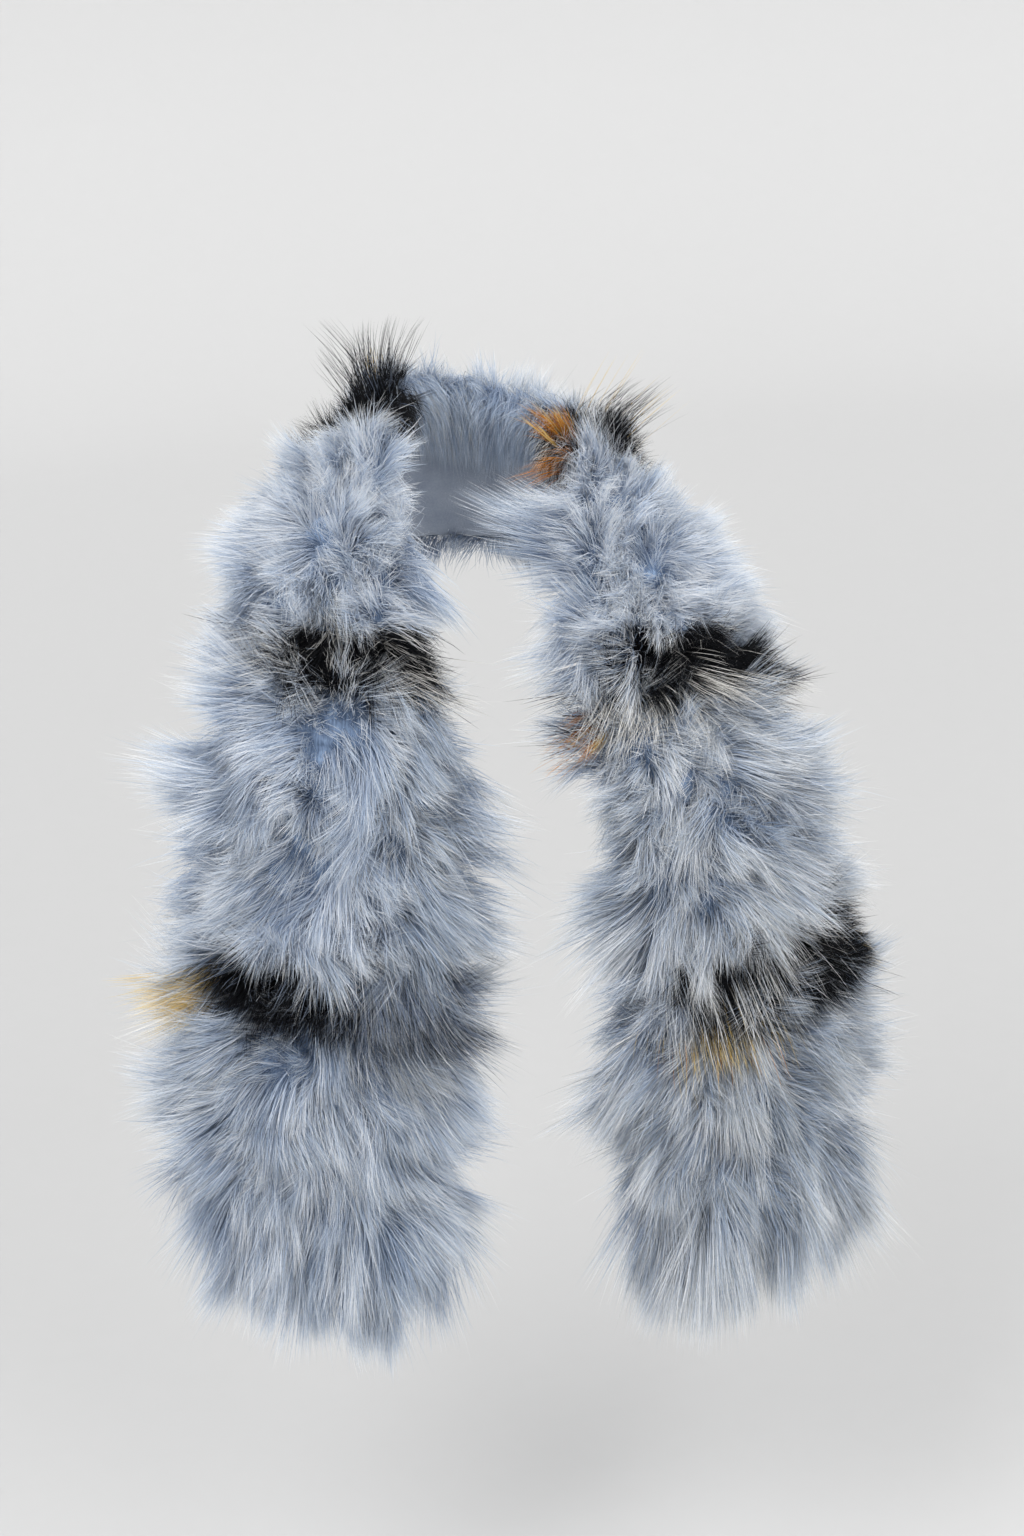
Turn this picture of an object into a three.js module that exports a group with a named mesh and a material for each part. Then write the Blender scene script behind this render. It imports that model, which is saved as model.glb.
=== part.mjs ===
// A long fox fur stole, worn: it lies round the back of the neck and both ends hang down in front.
// The strip is thirteen pieces of dressed pelt sewn end to end, seven blue panels parted by six
// narrow dark strips. Each piece is a solid from the skin side of its pelt out to its hair tips.
//
// Millimetres, +Z up, -Y the wearer's front, +X the wearer's left. The origin is at the nape, on
// the skin side of the neck panel. "Run" is the way along the strip's middle from the nape: it is
// negative towards the end on the wearer's right and positive towards the end on the left.

import * as THREE from 'three';

// Driving dimensions
const SEAM_GAP = 0.34; // between neighbouring pieces, on the pelt's middle line
const STRIP_LENGTH = 34; // a dark strip, along the run
const EDGE_CURL = 7; // how far the hair curls in behind a long edge
const STRIP_PINCH = 0.17; // share of its height that the fur loses over a dark strip
const PINCH_SPREAD = 26; // half width of that trough, along the run
const SIDE_PINCH_POWER = 0.5; // the same trough is shallower at the long edges
const BACK_TUFT_SHARE = 0.3; // tufts on the skin side, as a share of those in front

// Shape of a section: a flat-topped pillow in front, a shallow hollow behind
const SIDE_POWER = 0.8;
const CROWN_POWER = 0.86;
const FRONT_STEPS = 16;
const BACK_STEPS = 10;
const RING_SPACING = 13;
const DOME_STEPS = 4;
const DOME_POWER = 0.62;
const DOME_CENTRE = 0.42; // height of the dome's centre, as a share of the fur's depth

// How the strip is draped, from the cut end on the wearer's right, over the nape, to the left one.
// inner is the long edge beside the neck and the front opening, and outer is the other one.
// depth is the height of the hair tips over the skin side, and reach their overhang past a long
// edge. comb is how far the hair leans along the run, as a share of its height.
const DRAPE = [
  // place, inner edge, outer edge, depth, reach, comb
  ['right hair tips', [-98, -224, -532], [-206, -222, -502], 60, 42, -0.5],
  ['right cut end', [-90, -224, -484], [-208, -222, -452], 62, 44, -0.5],
  ['right hip', [-84, -225, -436], [-208, -222, -396], 64, 46, -0.5],
  ['right waist', [-76, -226, -382], [-204, -222, -338], 64, 46, -0.5],
  ['right low rib', [-66, -227, -326], [-198, -221, -280], 62, 46, -0.5],
  ['right rib', [-57, -227, -268], [-191, -219, -222], 62, 46, -0.5],
  ['right under bust', [-51, -226, -206], [-178, -214, -166], 62, 46, -0.5],
  ['right bust', [-49, -221, -146], [-160, -196, -112], 60, 42, -0.46],
  ['right chest', [-52, -208, -86], [-148, -166, -66], 56, 38, -0.4],
  ['right collarbone', [-57, -188, -36], [-144, -130, -38], 54, 35, -0.34],
  ['right shoulder front', [-61, -156, 10], [-138, -86, -24], 52, 32, -0.25],
  ['right shoulder', [-63, -118, 46], [-126, -40, -28], 50, 30, -0.12],
  ['right neck side', [-57, -74, 66], [-94, -2, -38], 50, 32, 0],
  ['right of nape', [-36, -36, 60], [-50, 18, -46], 46, 28, 0],
  ['nape', [0, -20, 50], [0, 20, -50], 44, 28, 0],
  ['left of nape', [38, -36, 40], [52, 16, -56], 46, 28, 0],
  ['left neck side', [60, -72, 34], [99, -4, -60], 50, 32, 0],
  ['left shoulder', [63, -112, 10], [124, -48, -60], 50, 34, 0.12],
  ['left shoulder front', [61, -152, -32], [137, -94, -70], 52, 38, 0.25],
  ['left collarbone', [62, -188, -82], [148, -136, -104], 54, 40, 0.34],
  ['left chest', [69, -210, -138], [161, -162, -144], 56, 42, 0.4],
  ['left bust', [79, -221, -196], [176, -174, -192], 58, 43, 0.46],
  ['left under bust', [86, -226, -254], [189, -180, -246], 60, 44, 0.5],
  ['left rib', [87, -227, -312], [197, -183, -302], 60, 44, 0.5],
  ['left low rib', [84, -226, -370], [196, -186, -356], 62, 45, 0.5],
  ['left waist', [83, -225, -424], [194, -190, -408], 62, 45, 0.5],
  ['left cut end', [88, -224, -476], [194, -194, -460], 60, 43, 0.5],
  ['left hair tips', [92, -223, -530], [188, -198, -514], 58, 42, 0.5],
].map(([at, inner, outer, depth, reach, comb]) => ({ at, inner, outer, depth, reach, comb }));

// The dark strips, by the run of their middles. A seam lies slant further from the nape at the
// inner edge than at the outer one, and bow nearer to the nape in the middle than at the edges.
const STRIPS = [
  { name: 'right_strip_3', run: -492, slant: 2, bow: 0 },
  { name: 'right_strip_2', run: -268, slant: -14, bow: -6 },
  { name: 'right_strip_1', run: -103, slant: 0, bow: 0 },
  { name: 'left_strip_1', run: 101, slant: 0, bow: 0 },
  { name: 'left_strip_2', run: 282, slant: 6, bow: 24 },
  { name: 'left_strip_3', run: 456, slant: 16, bow: 0 },
];

// The panels between them, in the same order
const PANELS = [
  'right_end_panel',
  'right_chest_panel',
  'right_shoulder_panel',
  'neck_panel',
  'left_shoulder_panel',
  'left_chest_panel',
  'left_end_panel',
];

// The largest partings and folds. across is -1 at the inner edge of the pelt and 1 at the outer
// one, long and wide are the hollow's half sizes along the run and across it.
const HOLLOWS = [
  { at: 'fold over the right low strip', run: -512, across: -0.45, long: 14, wide: 46, deep: 15 },
  { at: 'right end whorl', run: -545, across: 0.1, long: 24, wide: 20, deep: 9 },
  { at: 'right chest parting', run: -400, across: 0.05, long: 52, wide: 17, deep: 11 },
  { at: 'right shoulder parting', run: -195, across: -0.1, long: 34, wide: 18, deep: 8 },
  { at: 'left shoulder parting', run: 190, across: 0.0, long: 34, wide: 20, deep: 9 },
  { at: 'left chest parting', run: 345, across: 0.25, long: 34, wide: 22, deep: 8 },
  { at: 'left chest fold', run: 400, across: -0.3, long: 20, wide: 34, deep: 7 },
  { at: 'left end whorl', run: 560, across: -0.15, long: 30, wide: 26, deep: 8 },
];

// Looks
const FINISHES = {
  blue: new THREE.MeshStandardMaterial({ color: 0x8fa3bd, roughness: 0.9, metalness: 0 }),
  dark: new THREE.MeshStandardMaterial({ color: 0x1b1d22, roughness: 0.85, metalness: 0 }),
};

// Curves through the rows of the table: both long edges, and the hair's depth, reach and comb
function curveThrough(pick) {
  const points = DRAPE.map((row) => new THREE.Vector3(...pick(row)));
  return new THREE.CatmullRomCurve3(points, false, 'catmullrom', 0.5);
}

const innerEdge = curveThrough((row) => row.inner);
const outerEdge = curveThrough((row) => row.outer);
const hair = curveThrough((row) => [row.depth, row.reach, row.comb]);

function middleAt(t) {
  return innerEdge.getPoint(t).add(outerEdge.getPoint(t)).multiplyScalar(0.5);
}

// Lengths along the middle line, measured from the nape
const SAMPLES_PER_ROW = 32;
const RUN_SAMPLES = SAMPLES_PER_ROW * (DRAPE.length - 1);
const lengths = [0];
for (let i = 1; i <= RUN_SAMPLES; i += 1) {
  const step = middleAt(i / RUN_SAMPLES).distanceTo(middleAt((i - 1) / RUN_SAMPLES));
  lengths.push(lengths[i - 1] + step);
}

function lengthAtRow(place) {
  return lengths[DRAPE.findIndex((row) => row.at === place) * SAMPLES_PER_ROW];
}

function runOfRow(place) {
  return lengthAtRow(place) - lengthAtRow('nape');
}

function parameterAt(run) {
  const length = run + lengthAtRow('nape');
  let low = 0;
  let high = RUN_SAMPLES;
  while (high - low > 1) {
    const half = (low + high) >> 1;
    if (lengths[half] <= length) low = half;
    else high = half;
  }
  return Math.min(1, (low + (length - lengths[low]) / (lengths[high] - lengths[low])) / RUN_SAMPLES);
}

// The pelt at a run: its middle, the directions along, across and out of it, and its hair
function peltAt(run) {
  const t = parameterAt(run);
  const nudge = 0.5 / RUN_SAMPLES;
  const inner = innerEdge.getPoint(t);
  const outer = outerEdge.getPoint(t);
  const across = outer.clone().sub(inner);
  const half = across.length() / 2;
  across.normalize();
  const along = middleAt(Math.min(t + nudge, 1)).sub(middleAt(Math.max(t - nudge, 0))).normalize();
  const out = along.clone().cross(across).normalize();
  const middle = inner.add(outer).multiplyScalar(0.5);
  const [depth, reach, comb] = hair.getPoint(t).toArray();
  return { middle, along, across, out, half, depth, reach, comb };
}

// Height of the fur over a place on the pelt: lower over the strips and in the partings
function loft(run, side, half) {
  let share = 1;
  for (const strip of STRIPS) {
    share -= STRIP_PINCH * Math.exp(-(((run - strip.run) / PINCH_SPREAD) ** 2));
  }
  let sunk = 0;
  for (const hollow of HOLLOWS) {
    const down = (run - hollow.run) / hollow.long;
    const over = ((side - hollow.across) * half) / hollow.wide;
    sunk += hollow.deep * Math.exp(-(down ** 2) - over ** 2);
  }
  return { share, sunk };
}

// Soft tufts that break the outline, from two waves that lean opposite ways round the section.
// length is the run of one radian, turns how often the wave goes round, and sway bends it.
const TUFT_WAVES = [
  { height: 0.038, length: 15, turns: 5, sway: 1.4, swayLength: 27 },
  { height: 0.038, length: 12, turns: -4, sway: 1.8, swayLength: 41 },
];

function tuft(run, angle) {
  let height = 0;
  for (const wave of TUFT_WAVES) {
    const bend = wave.sway * Math.sin(run / wave.swayLength);
    height += wave.height * Math.sin(run / wave.length + wave.turns * angle + bend);
  }
  return height;
}

function signedPower(value, power) {
  return Math.sign(value) * Math.abs(value) ** power;
}

// A point of the fur's surface. angle goes once round the section: 0 at the outer edge, then over
// the hair tips to the inner edge at pi, and back along the skin side. shrink draws the section
// in towards the dome's centre.
function furPoint(run, angle, shrink = 1) {
  const pelt = peltAt(run);
  const front = angle <= Math.PI;
  const side = signedPower(Math.cos(angle), SIDE_POWER);
  const { share, sunk } = loft(run, side, pelt.half);
  const lift = 1 + tuft(run, angle) * (front ? 1 : BACK_TUFT_SHARE);
  const sideways = side * (pelt.half + pelt.reach) * share ** SIDE_PINCH_POWER * lift;
  const crown = Math.abs(Math.sin(angle)) ** CROWN_POWER;
  const tips = crown * (pelt.depth * share * lift - sunk);
  const curl = -EDGE_CURL * Math.sin(2 * angle) ** 2;
  const centre = DOME_CENTRE * pelt.depth;
  const height = centre + ((front ? tips : curl) - centre) * shrink;
  return pelt.middle
    .addScaledVector(pelt.across, sideways * shrink)
    .addScaledVector(pelt.out, height)
    .addScaledVector(pelt.along, height * pelt.comb);
}

// Run of a seam at one side of the strip
function seamRun(seam, side) {
  const away = Math.sign(seam.run);
  return seam.at + away * (seam.slant * -side * 0.5 - seam.bow * (1 - side * side));
}

// The angles of one ring of points round the section
const ringAngles = [];
for (let i = 0; i < FRONT_STEPS; i += 1) ringAngles.push((Math.PI * i) / FRONT_STEPS);
for (let i = 0; i < BACK_STEPS; i += 1) ringAngles.push(Math.PI + (Math.PI * i) / BACK_STEPS);

function ringBetween(start, end, share) {
  return ringAngles.map((angle) => {
    const side = Math.cos(angle);
    const from = seamRun(start, side);
    const to = seamRun(end, side);
    return furPoint(from + (to - from) * share, angle);
  });
}

// Rings that close a cut end: the section shrinks as the hair reaches past the pelt
function domeRings(cut, tips) {
  const rings = [];
  for (let i = 1; i < DOME_STEPS; i += 1) {
    const turn = (Math.PI / 2) * (i / DOME_STEPS);
    const run = cut + (tips - cut) * Math.sin(turn);
    const shrink = Math.cos(turn) ** DOME_POWER;
    rings.push(ringAngles.map((angle) => furPoint(run, angle, shrink)));
  }
  return rings;
}

function sectionCentre(run) {
  return furPoint(run, 0, 0);
}

// Joins rings and two closing points into one solid's geometry
function solidFromRings(firstPoint, rings, lastPoint) {
  const count = ringAngles.length;
  const points = [firstPoint, ...rings.flat(), lastPoint];
  const last = points.length - 1;
  const index = [];
  for (let i = 0; i < count; i += 1) {
    const next = (i + 1) % count;
    index.push(0, 1 + next, 1 + i);
    for (let ring = 0; ring < rings.length - 1; ring += 1) {
      const here = 1 + ring * count;
      const there = here + count;
      index.push(here + i, there + next, there + i);
      index.push(here + i, here + next, there + next);
    }
    const end = 1 + (rings.length - 1) * count;
    index.push(last, end + i, end + next);
  }
  const geometry = new THREE.BufferGeometry();
  const places = points.flatMap((point) => point.toArray());
  geometry.setAttribute('position', new THREE.Float32BufferAttribute(places, 3));
  geometry.setIndex(index);
  geometry.computeVertexNormals();
  return geometry;
}

// One piece of the strip, between two seams or between a seam and a cut end
function furPiece(name, finish, start, end) {
  const length = end.at - start.at;
  const steps = Math.max(3, Math.round(length / RING_SPACING));
  let rings = [];
  for (let i = 0; i <= steps; i += 1) rings.push(ringBetween(start, end, i / steps));
  let firstPoint = sectionCentre(seamRun(start, 0));
  let lastPoint = sectionCentre(seamRun(end, 0));
  if (start.tips) {
    rings = [...domeRings(start.at, start.tips).reverse(), ...rings];
    firstPoint = sectionCentre(start.tips);
  }
  if (end.tips) {
    rings = [...rings, ...domeRings(end.at, end.tips)];
    lastPoint = sectionCentre(end.tips);
  }
  const mesh = new THREE.Mesh(solidFromRings(firstPoint, rings, lastPoint), FINISHES[finish]);
  mesh.name = name;
  return mesh;
}

// A strip's seam, half a gap inside or outside of it
function seamOf(strip, side, within) {
  const shift = side * (STRIP_LENGTH / 2 + (within ? -1 : 1) * (SEAM_GAP / 2));
  return { ...strip, at: strip.run + shift };
}

// A cut end of the pelt, with the run that its hair tips reach
function cutEnd(wearerSide) {
  const run = runOfRow(`${wearerSide} cut end`);
  return { run, at: run, slant: 0, bow: 0, tips: runOfRow(`${wearerSide} hair tips`) };
}

const stole = new THREE.Group();
stole.name = 'fur_stole';
PANELS.forEach((name, i) => {
  const start = i === 0 ? cutEnd('right') : seamOf(STRIPS[i - 1], 1, false);
  const end = i === STRIPS.length ? cutEnd('left') : seamOf(STRIPS[i], -1, false);
  stole.add(furPiece(name, 'blue', start, end));
});
for (const strip of STRIPS) {
  stole.add(furPiece(strip.name, 'dark', seamOf(strip, -1, true), seamOf(strip, 1, true)));
}

export default stole;
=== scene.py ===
"""A long fox fur stole, worn: it lies round the back of the neck and both ends hang down in front.

Thirteen pieces of dressed pelt are sewn end to end, seven blue panels parted by six dark strips.
Each piece is built as a leather sheet, a woolly undercoat and strands of hair. Sizes are in
millimetres in the tables and in metres everywhere else. Z is up, -Y the wearer's front and +X the
wearer's left. "Run" is the way along the strip's middle from the nape: negative towards the end
on the wearer's right, positive towards the end on the left. "Side" goes across the strip, from -1
at the inner edge, beside the neck, to 1 at the outer edge.
"""

import logging
import math
from dataclasses import dataclass, field, fields
from enum import Enum
from functools import partial
from typing import Any

import bpy
import numpy as np
from mathutils import Matrix, Vector


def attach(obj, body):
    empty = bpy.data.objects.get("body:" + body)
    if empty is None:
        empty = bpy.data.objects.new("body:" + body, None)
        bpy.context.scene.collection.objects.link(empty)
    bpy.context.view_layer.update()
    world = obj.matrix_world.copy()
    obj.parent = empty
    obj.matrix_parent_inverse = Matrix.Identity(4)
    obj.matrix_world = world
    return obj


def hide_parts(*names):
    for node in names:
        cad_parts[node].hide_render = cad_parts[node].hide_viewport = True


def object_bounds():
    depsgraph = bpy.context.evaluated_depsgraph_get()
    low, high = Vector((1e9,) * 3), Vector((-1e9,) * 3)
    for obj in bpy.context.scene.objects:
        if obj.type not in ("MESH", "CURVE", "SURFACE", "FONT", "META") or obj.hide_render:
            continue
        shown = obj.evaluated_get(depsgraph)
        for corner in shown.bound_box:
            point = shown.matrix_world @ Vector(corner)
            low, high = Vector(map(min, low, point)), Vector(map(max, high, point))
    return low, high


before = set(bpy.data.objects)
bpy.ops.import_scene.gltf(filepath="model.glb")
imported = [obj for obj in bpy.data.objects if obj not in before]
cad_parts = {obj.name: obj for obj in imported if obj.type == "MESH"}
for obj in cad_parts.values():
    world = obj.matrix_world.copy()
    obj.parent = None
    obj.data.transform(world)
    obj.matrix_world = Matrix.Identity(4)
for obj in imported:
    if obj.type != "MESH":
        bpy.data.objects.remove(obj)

LOG = logging.getLogger("fur_stole")
CAD_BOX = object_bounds()
MM = 0.001
Array = np.ndarray
Pair = tuple[float, float]


# The drape, as in the part's source: place, inner edge, outer edge, hair depth, reach and comb
DRAPE_ROWS = (
    ("right hair tips", (-98, -224, -532), (-206, -222, -502), 60, 42, -0.5),
    ("right cut end", (-90, -224, -484), (-208, -222, -452), 62, 44, -0.5),
    ("right hip", (-84, -225, -436), (-208, -222, -396), 64, 46, -0.5),
    ("right waist", (-76, -226, -382), (-204, -222, -338), 64, 46, -0.5),
    ("right low rib", (-66, -227, -326), (-198, -221, -280), 62, 46, -0.5),
    ("right rib", (-57, -227, -268), (-191, -219, -222), 62, 46, -0.5),
    ("right under bust", (-51, -226, -206), (-178, -214, -166), 62, 46, -0.5),
    ("right bust", (-49, -221, -146), (-160, -196, -112), 60, 42, -0.46),
    ("right chest", (-52, -208, -86), (-148, -166, -66), 56, 38, -0.4),
    ("right collarbone", (-57, -188, -36), (-144, -130, -38), 54, 35, -0.34),
    ("right shoulder front", (-61, -156, 10), (-138, -86, -24), 52, 32, -0.25),
    ("right shoulder", (-63, -118, 46), (-126, -40, -28), 50, 30, -0.12),
    ("right neck side", (-57, -74, 66), (-94, -2, -38), 50, 32, 0.0),
    ("right of nape", (-36, -36, 60), (-50, 18, -46), 46, 28, 0.0),
    ("nape", (0, -20, 50), (0, 20, -50), 44, 28, 0.0),
    ("left of nape", (38, -36, 40), (52, 16, -56), 46, 28, 0.0),
    ("left neck side", (60, -72, 34), (99, -4, -60), 50, 32, 0.0),
    ("left shoulder", (63, -112, 10), (124, -48, -60), 50, 34, 0.12),
    ("left shoulder front", (61, -152, -32), (137, -94, -70), 52, 38, 0.25),
    ("left collarbone", (62, -188, -82), (148, -136, -104), 54, 40, 0.34),
    ("left chest", (69, -210, -138), (161, -162, -144), 56, 42, 0.4),
    ("left bust", (79, -221, -196), (176, -174, -192), 58, 43, 0.46),
    ("left under bust", (86, -226, -254), (189, -180, -246), 60, 44, 0.5),
    ("left rib", (87, -227, -312), (197, -183, -302), 60, 44, 0.5),
    ("left low rib", (84, -226, -370), (196, -186, -356), 62, 45, 0.5),
    ("left waist", (83, -225, -424), (194, -190, -408), 62, 45, 0.5),
    ("left cut end", (88, -224, -476), (194, -194, -460), 60, 43, 0.5),
    ("left hair tips", (92, -223, -530), (188, -198, -514), 58, 42, 0.5),
)

PELT_CUT_WIDTH = 0.12
STRIP_LENGTH = 34 * MM
THREAD = "C9CCD1"
SEAM_GAP = 0.34 * MM
TINY = 1e-12
PLASTIC_NUMBER = 1.32471795724475


def unit(vectors: Array) -> Array:
    """Scales each row to length 1.

    Args:
        vectors: Array of shape (n, 3).

    Returns:
        The same directions with length 1.
    """
    return vectors / np.maximum(np.linalg.norm(vectors, axis=-1, keepdims=True), TINY)


def dot(first: Array, second: Array) -> Array:
    """Row by row scalar product, kept as a column."""
    return (first * second).sum(-1, keepdims=True)


def blend(first: Array, second: Array, share: Array) -> Array:
    """Straight mix of two arrays: first at share 0, second at share 1."""
    return first + (second - first) * share


def smooth_step(value: Array, low: float, high: float) -> Array:
    """0 below low, 1 above high, and 3t^2 - 2t^3 between them."""
    t = np.clip((value - low) / (high - low), 0, 1)
    return t * t * (3 - 2 * t)


def signed_power(value: Array, power: float) -> Array:
    """The power of the value's size, with the value's sign."""
    return np.sign(value) * np.abs(value) ** power


# Shape of the strip
@dataclass(frozen=True)
class PeltPlaces:
    """The pelt at many runs at once, one row each."""

    middle: Array
    along: Array
    across: Array
    out: Array
    half: Array
    depth: Array
    reach: Array
    comb: Array


class Drape:
    """The strip as it hangs: smooth curves through the rows of the table."""

    samples_per_row = 32

    def __init__(self, rows: tuple) -> None:
        """Reads the table and measures the middle line.

        Args:
            rows: Place, inner edge, outer edge, depth, reach and comb, in millimetres.
        """
        self.places = [row[0] for row in rows]
        self.inner = np.array([row[1] for row in rows]) * MM
        self.outer = np.array([row[2] for row in rows]) * MM
        self.hair = np.array([row[3:6] for row in rows]) * (MM, MM, 1)
        self.steps = np.linspace(0, 1, self.samples_per_row * (len(rows) - 1) + 1)
        gaps = np.linalg.norm(np.diff(self.middle_at(self.steps), axis=0), axis=1)
        self.lengths = np.concatenate([[0], np.cumsum(gaps)])
        self.lengths -= self.lengths[self.places.index("nape") * self.samples_per_row]

    def curve(self, points: Array, t: Array) -> Array:
        """Uniform Catmull-Rom curve: cubic pieces whose slope at a row is half the way from the
        row before to the row after.

        Args:
            points: One point per row of the table.
            t: Places on the curve, from 0 to 1.

        Returns:
            The points at t.
        """
        ends = np.vstack([2 * points[0] - points[1], points, 2 * points[-1] - points[-2]])
        place = np.clip(t, 0, 1) * (len(points) - 1)
        i = np.minimum(place.astype(int), len(points) - 2)
        w = (place - i)[:, None]
        before, here, there, after = (ends[i + k] for k in range(4))
        slope_here, slope_there = (there - before) / 2, (after - here) / 2
        square = -3 * here + 3 * there - 2 * slope_here - slope_there
        cube = 2 * here - 2 * there + slope_here + slope_there
        return here + w * (slope_here + w * (square + w * cube))

    def middle_at(self, t: Array) -> Array:
        """Half way between the two long edges."""
        return (self.curve(self.inner, t) + self.curve(self.outer, t)) / 2

    def run_of(self, place: str) -> float:
        """Run of a row of the table."""
        return float(self.lengths[self.places.index(place) * self.samples_per_row])

    def at(self, run: Array) -> PeltPlaces:
        """The pelt at these runs: along is the middle line's direction, across goes from the
        inner to the outer edge, and out is square to both.

        Args:
            run: Array of runs in metres.

        Returns:
            Middle points, directions, half width and hair sizes.
        """
        t = np.interp(run, self.lengths, self.steps)
        nudge = 0.5 / (len(self.steps) - 1)
        inner, outer = self.curve(self.inner, t), self.curve(self.outer, t)
        across = unit(outer - inner)
        along = unit(self.middle_at(np.minimum(t + nudge, 1)) - self.middle_at(t - nudge))
        depth, reach, comb = self.curve(self.hair, t).T[:, :, None]
        half = np.linalg.norm(outer - inner, axis=1, keepdims=True) / 2
        out = unit(np.cross(along, across))
        return PeltPlaces((inner + outer) / 2, along, across, out, half, depth, reach, comb)


@dataclass(frozen=True)
class Strip:
    """A dark strip: the run of its middle, and how its seams slant and bow, in millimetres."""

    name: str
    run: float
    slant: float
    bow: float


@dataclass(frozen=True)
class Hollow:
    """A parting, fold or whorl: its place, its half sizes and its depth, in millimetres. For a
    whorl, which sinks nothing, the depth says how far it pushes the hair outwards."""

    run: float
    side: float
    long: float
    wide: float
    deep: float


@dataclass(frozen=True)
class TuftWave:
    """A wave of the fur's height that turns round the section, lengths in millimetres."""

    height: float
    length: float
    turns: float
    sway: float
    sway_length: float


STRIPS = (
    Strip("right_strip_3", -492, 2, 0),
    Strip("right_strip_2", -268, -14, -6),
    Strip("right_strip_1", -103, 0, 0),
    Strip("left_strip_1", 101, 0, 0),
    Strip("left_strip_2", 282, 6, 24),
    Strip("left_strip_3", 456, 16, 0),
)

HOLLOWS = (
    Hollow(-512, -0.45, 14, 46, 15),
    Hollow(-545, 0.1, 24, 20, 9),
    Hollow(-400, 0.05, 52, 17, 11),
    Hollow(-195, -0.1, 34, 18, 8),
    Hollow(190, 0.0, 34, 20, 9),
    Hollow(345, 0.25, 34, 22, 8),
    Hollow(400, -0.3, 20, 34, 7),
    Hollow(560, -0.15, 30, 26, 8),
)

WHORLS = (
    Hollow(-523, 0.2, 60, 60, 26),
    Hollow(-314, 0.18, 50, 42, 22),
    Hollow(-210, -0.2, 40, 34, 18),
    Hollow(176, -0.3, 40, 34, 22),
    Hollow(236, 0.1, 36, 40, 18),
    Hollow(370, 0.0, 60, 46, 18),
    Hollow(520, 0.1, 60, 50, 16),
)

TUFT_WAVES = (TuftWave(0.038, 15, 5, 1.4, 27), TuftWave(0.038, 12, -4, 1.8, 41))


@dataclass(frozen=True)
class Section:
    """The fur's surface over the pelt, the same as the outline of the part's solids."""

    drape: Drape
    strip_pinch: float = 0.17
    pinch_spread: float = 26 * MM
    side_pinch_power: float = 0.5
    side_power: float = 0.8
    crown_power: float = 0.86

    def side_of(self, angle: Array) -> Array:
        """Side at an angle of the section, which is 0 at the outer edge and pi at the inner."""
        return signed_power(np.cos(angle), self.side_power)

    def loft(self, run: Array, side: Array, half: Array) -> tuple[Array, Array]:
        """How high the fur stands: a share that dips by a bell curve over each dark strip, and a
        depth that each hollow takes away, a bell curve of the distance to its middle.

        Args:
            run: Runs, as a column.
            side: Sides, as a column.
            half: Half widths of the pelt, as a column.

        Returns:
            The share and the depth lost.
        """
        share = np.ones_like(run)
        for strip in STRIPS:
            away = (run - strip.run * MM) / self.pinch_spread
            share -= self.strip_pinch * np.exp(-(away**2))
        sunk = np.zeros_like(run)
        for hollow in HOLLOWS:
            sunk += hollow.deep * MM * self.bell(hollow, run, side, half)
        return share, sunk

    def bell(self, hollow: Hollow, run: Array, side: Array, half: Array) -> Array:
        """exp(-x^2 - y^2), x and y the way from the hollow's middle in its own half sizes.

        Args:
            hollow: The hollow.
            run: Runs, as a column.
            side: Sides, as a column.
            half: Half widths of the pelt, as a column.

        Returns:
            The curve's height, from 0 to 1.
        """
        down = (run / MM - hollow.run) / hollow.long
        over = (side - hollow.side) * half / MM / hollow.wide
        return np.exp(-(down**2) - over**2)

    def tuft(self, run: Array, angle: Array) -> Array:
        """Sum of the tuft waves, sines of the run and the angle together.

        Args:
            run: Runs, as a column.
            angle: Angles of the section, as a column.

        Returns:
            The share by which the tufts lift the fur.
        """
        height = np.zeros_like(run)
        for wave in TUFT_WAVES:
            bend = wave.sway * np.sin(run / MM / wave.sway_length)
            height += wave.height * np.sin(run / MM / wave.length + wave.turns * angle + bend)
        return height

    def heights(self, run: Array, angle: Array) -> tuple[PeltPlaces, Array, Array, Array]:
        """Where the hair tips stand over the pelt.

        Sideways is side x (half width + reach) x root of the share x (1 + tuft), and up is
        sin(angle)^0.86 x (depth x share x (1 + tuft) - sunk).

        Args:
            run: Runs of the hair roots.
            angle: Angles of the section.

        Returns:
            The pelt's places, the sides, and the ways sideways and up, as columns.
        """
        pelt = self.drape.at(run)
        run, angle = run[:, None], angle[:, None]
        side = self.side_of(angle)
        share, sunk = self.loft(run, side, pelt.half)
        lift = 1 + self.tuft(run, angle)
        sideways = side * (pelt.half + pelt.reach) * share**self.side_pinch_power * lift
        crown = np.abs(np.sin(angle)) ** self.crown_power
        return pelt, side, sideways, crown * (pelt.depth * share * lift - sunk)


# Pieces of pelt
@dataclass(frozen=True)
class Seam:
    """One end of a piece: a seam, or a cut end whose hair tips reach the run in tips."""

    run: float
    slant: float = 0.0
    bow: float = 0.0
    tips: float | None = None
    strip: str = ""

    def at_side(self, side: Array) -> Array:
        """Run of the seam at each side: straight, plus slant x side and bow x (1 - side^2)."""
        away = math.copysign(1, self.run)
        return self.run + away * (self.slant * -side * 0.5 - self.bow * (1 - side * side))


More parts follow.
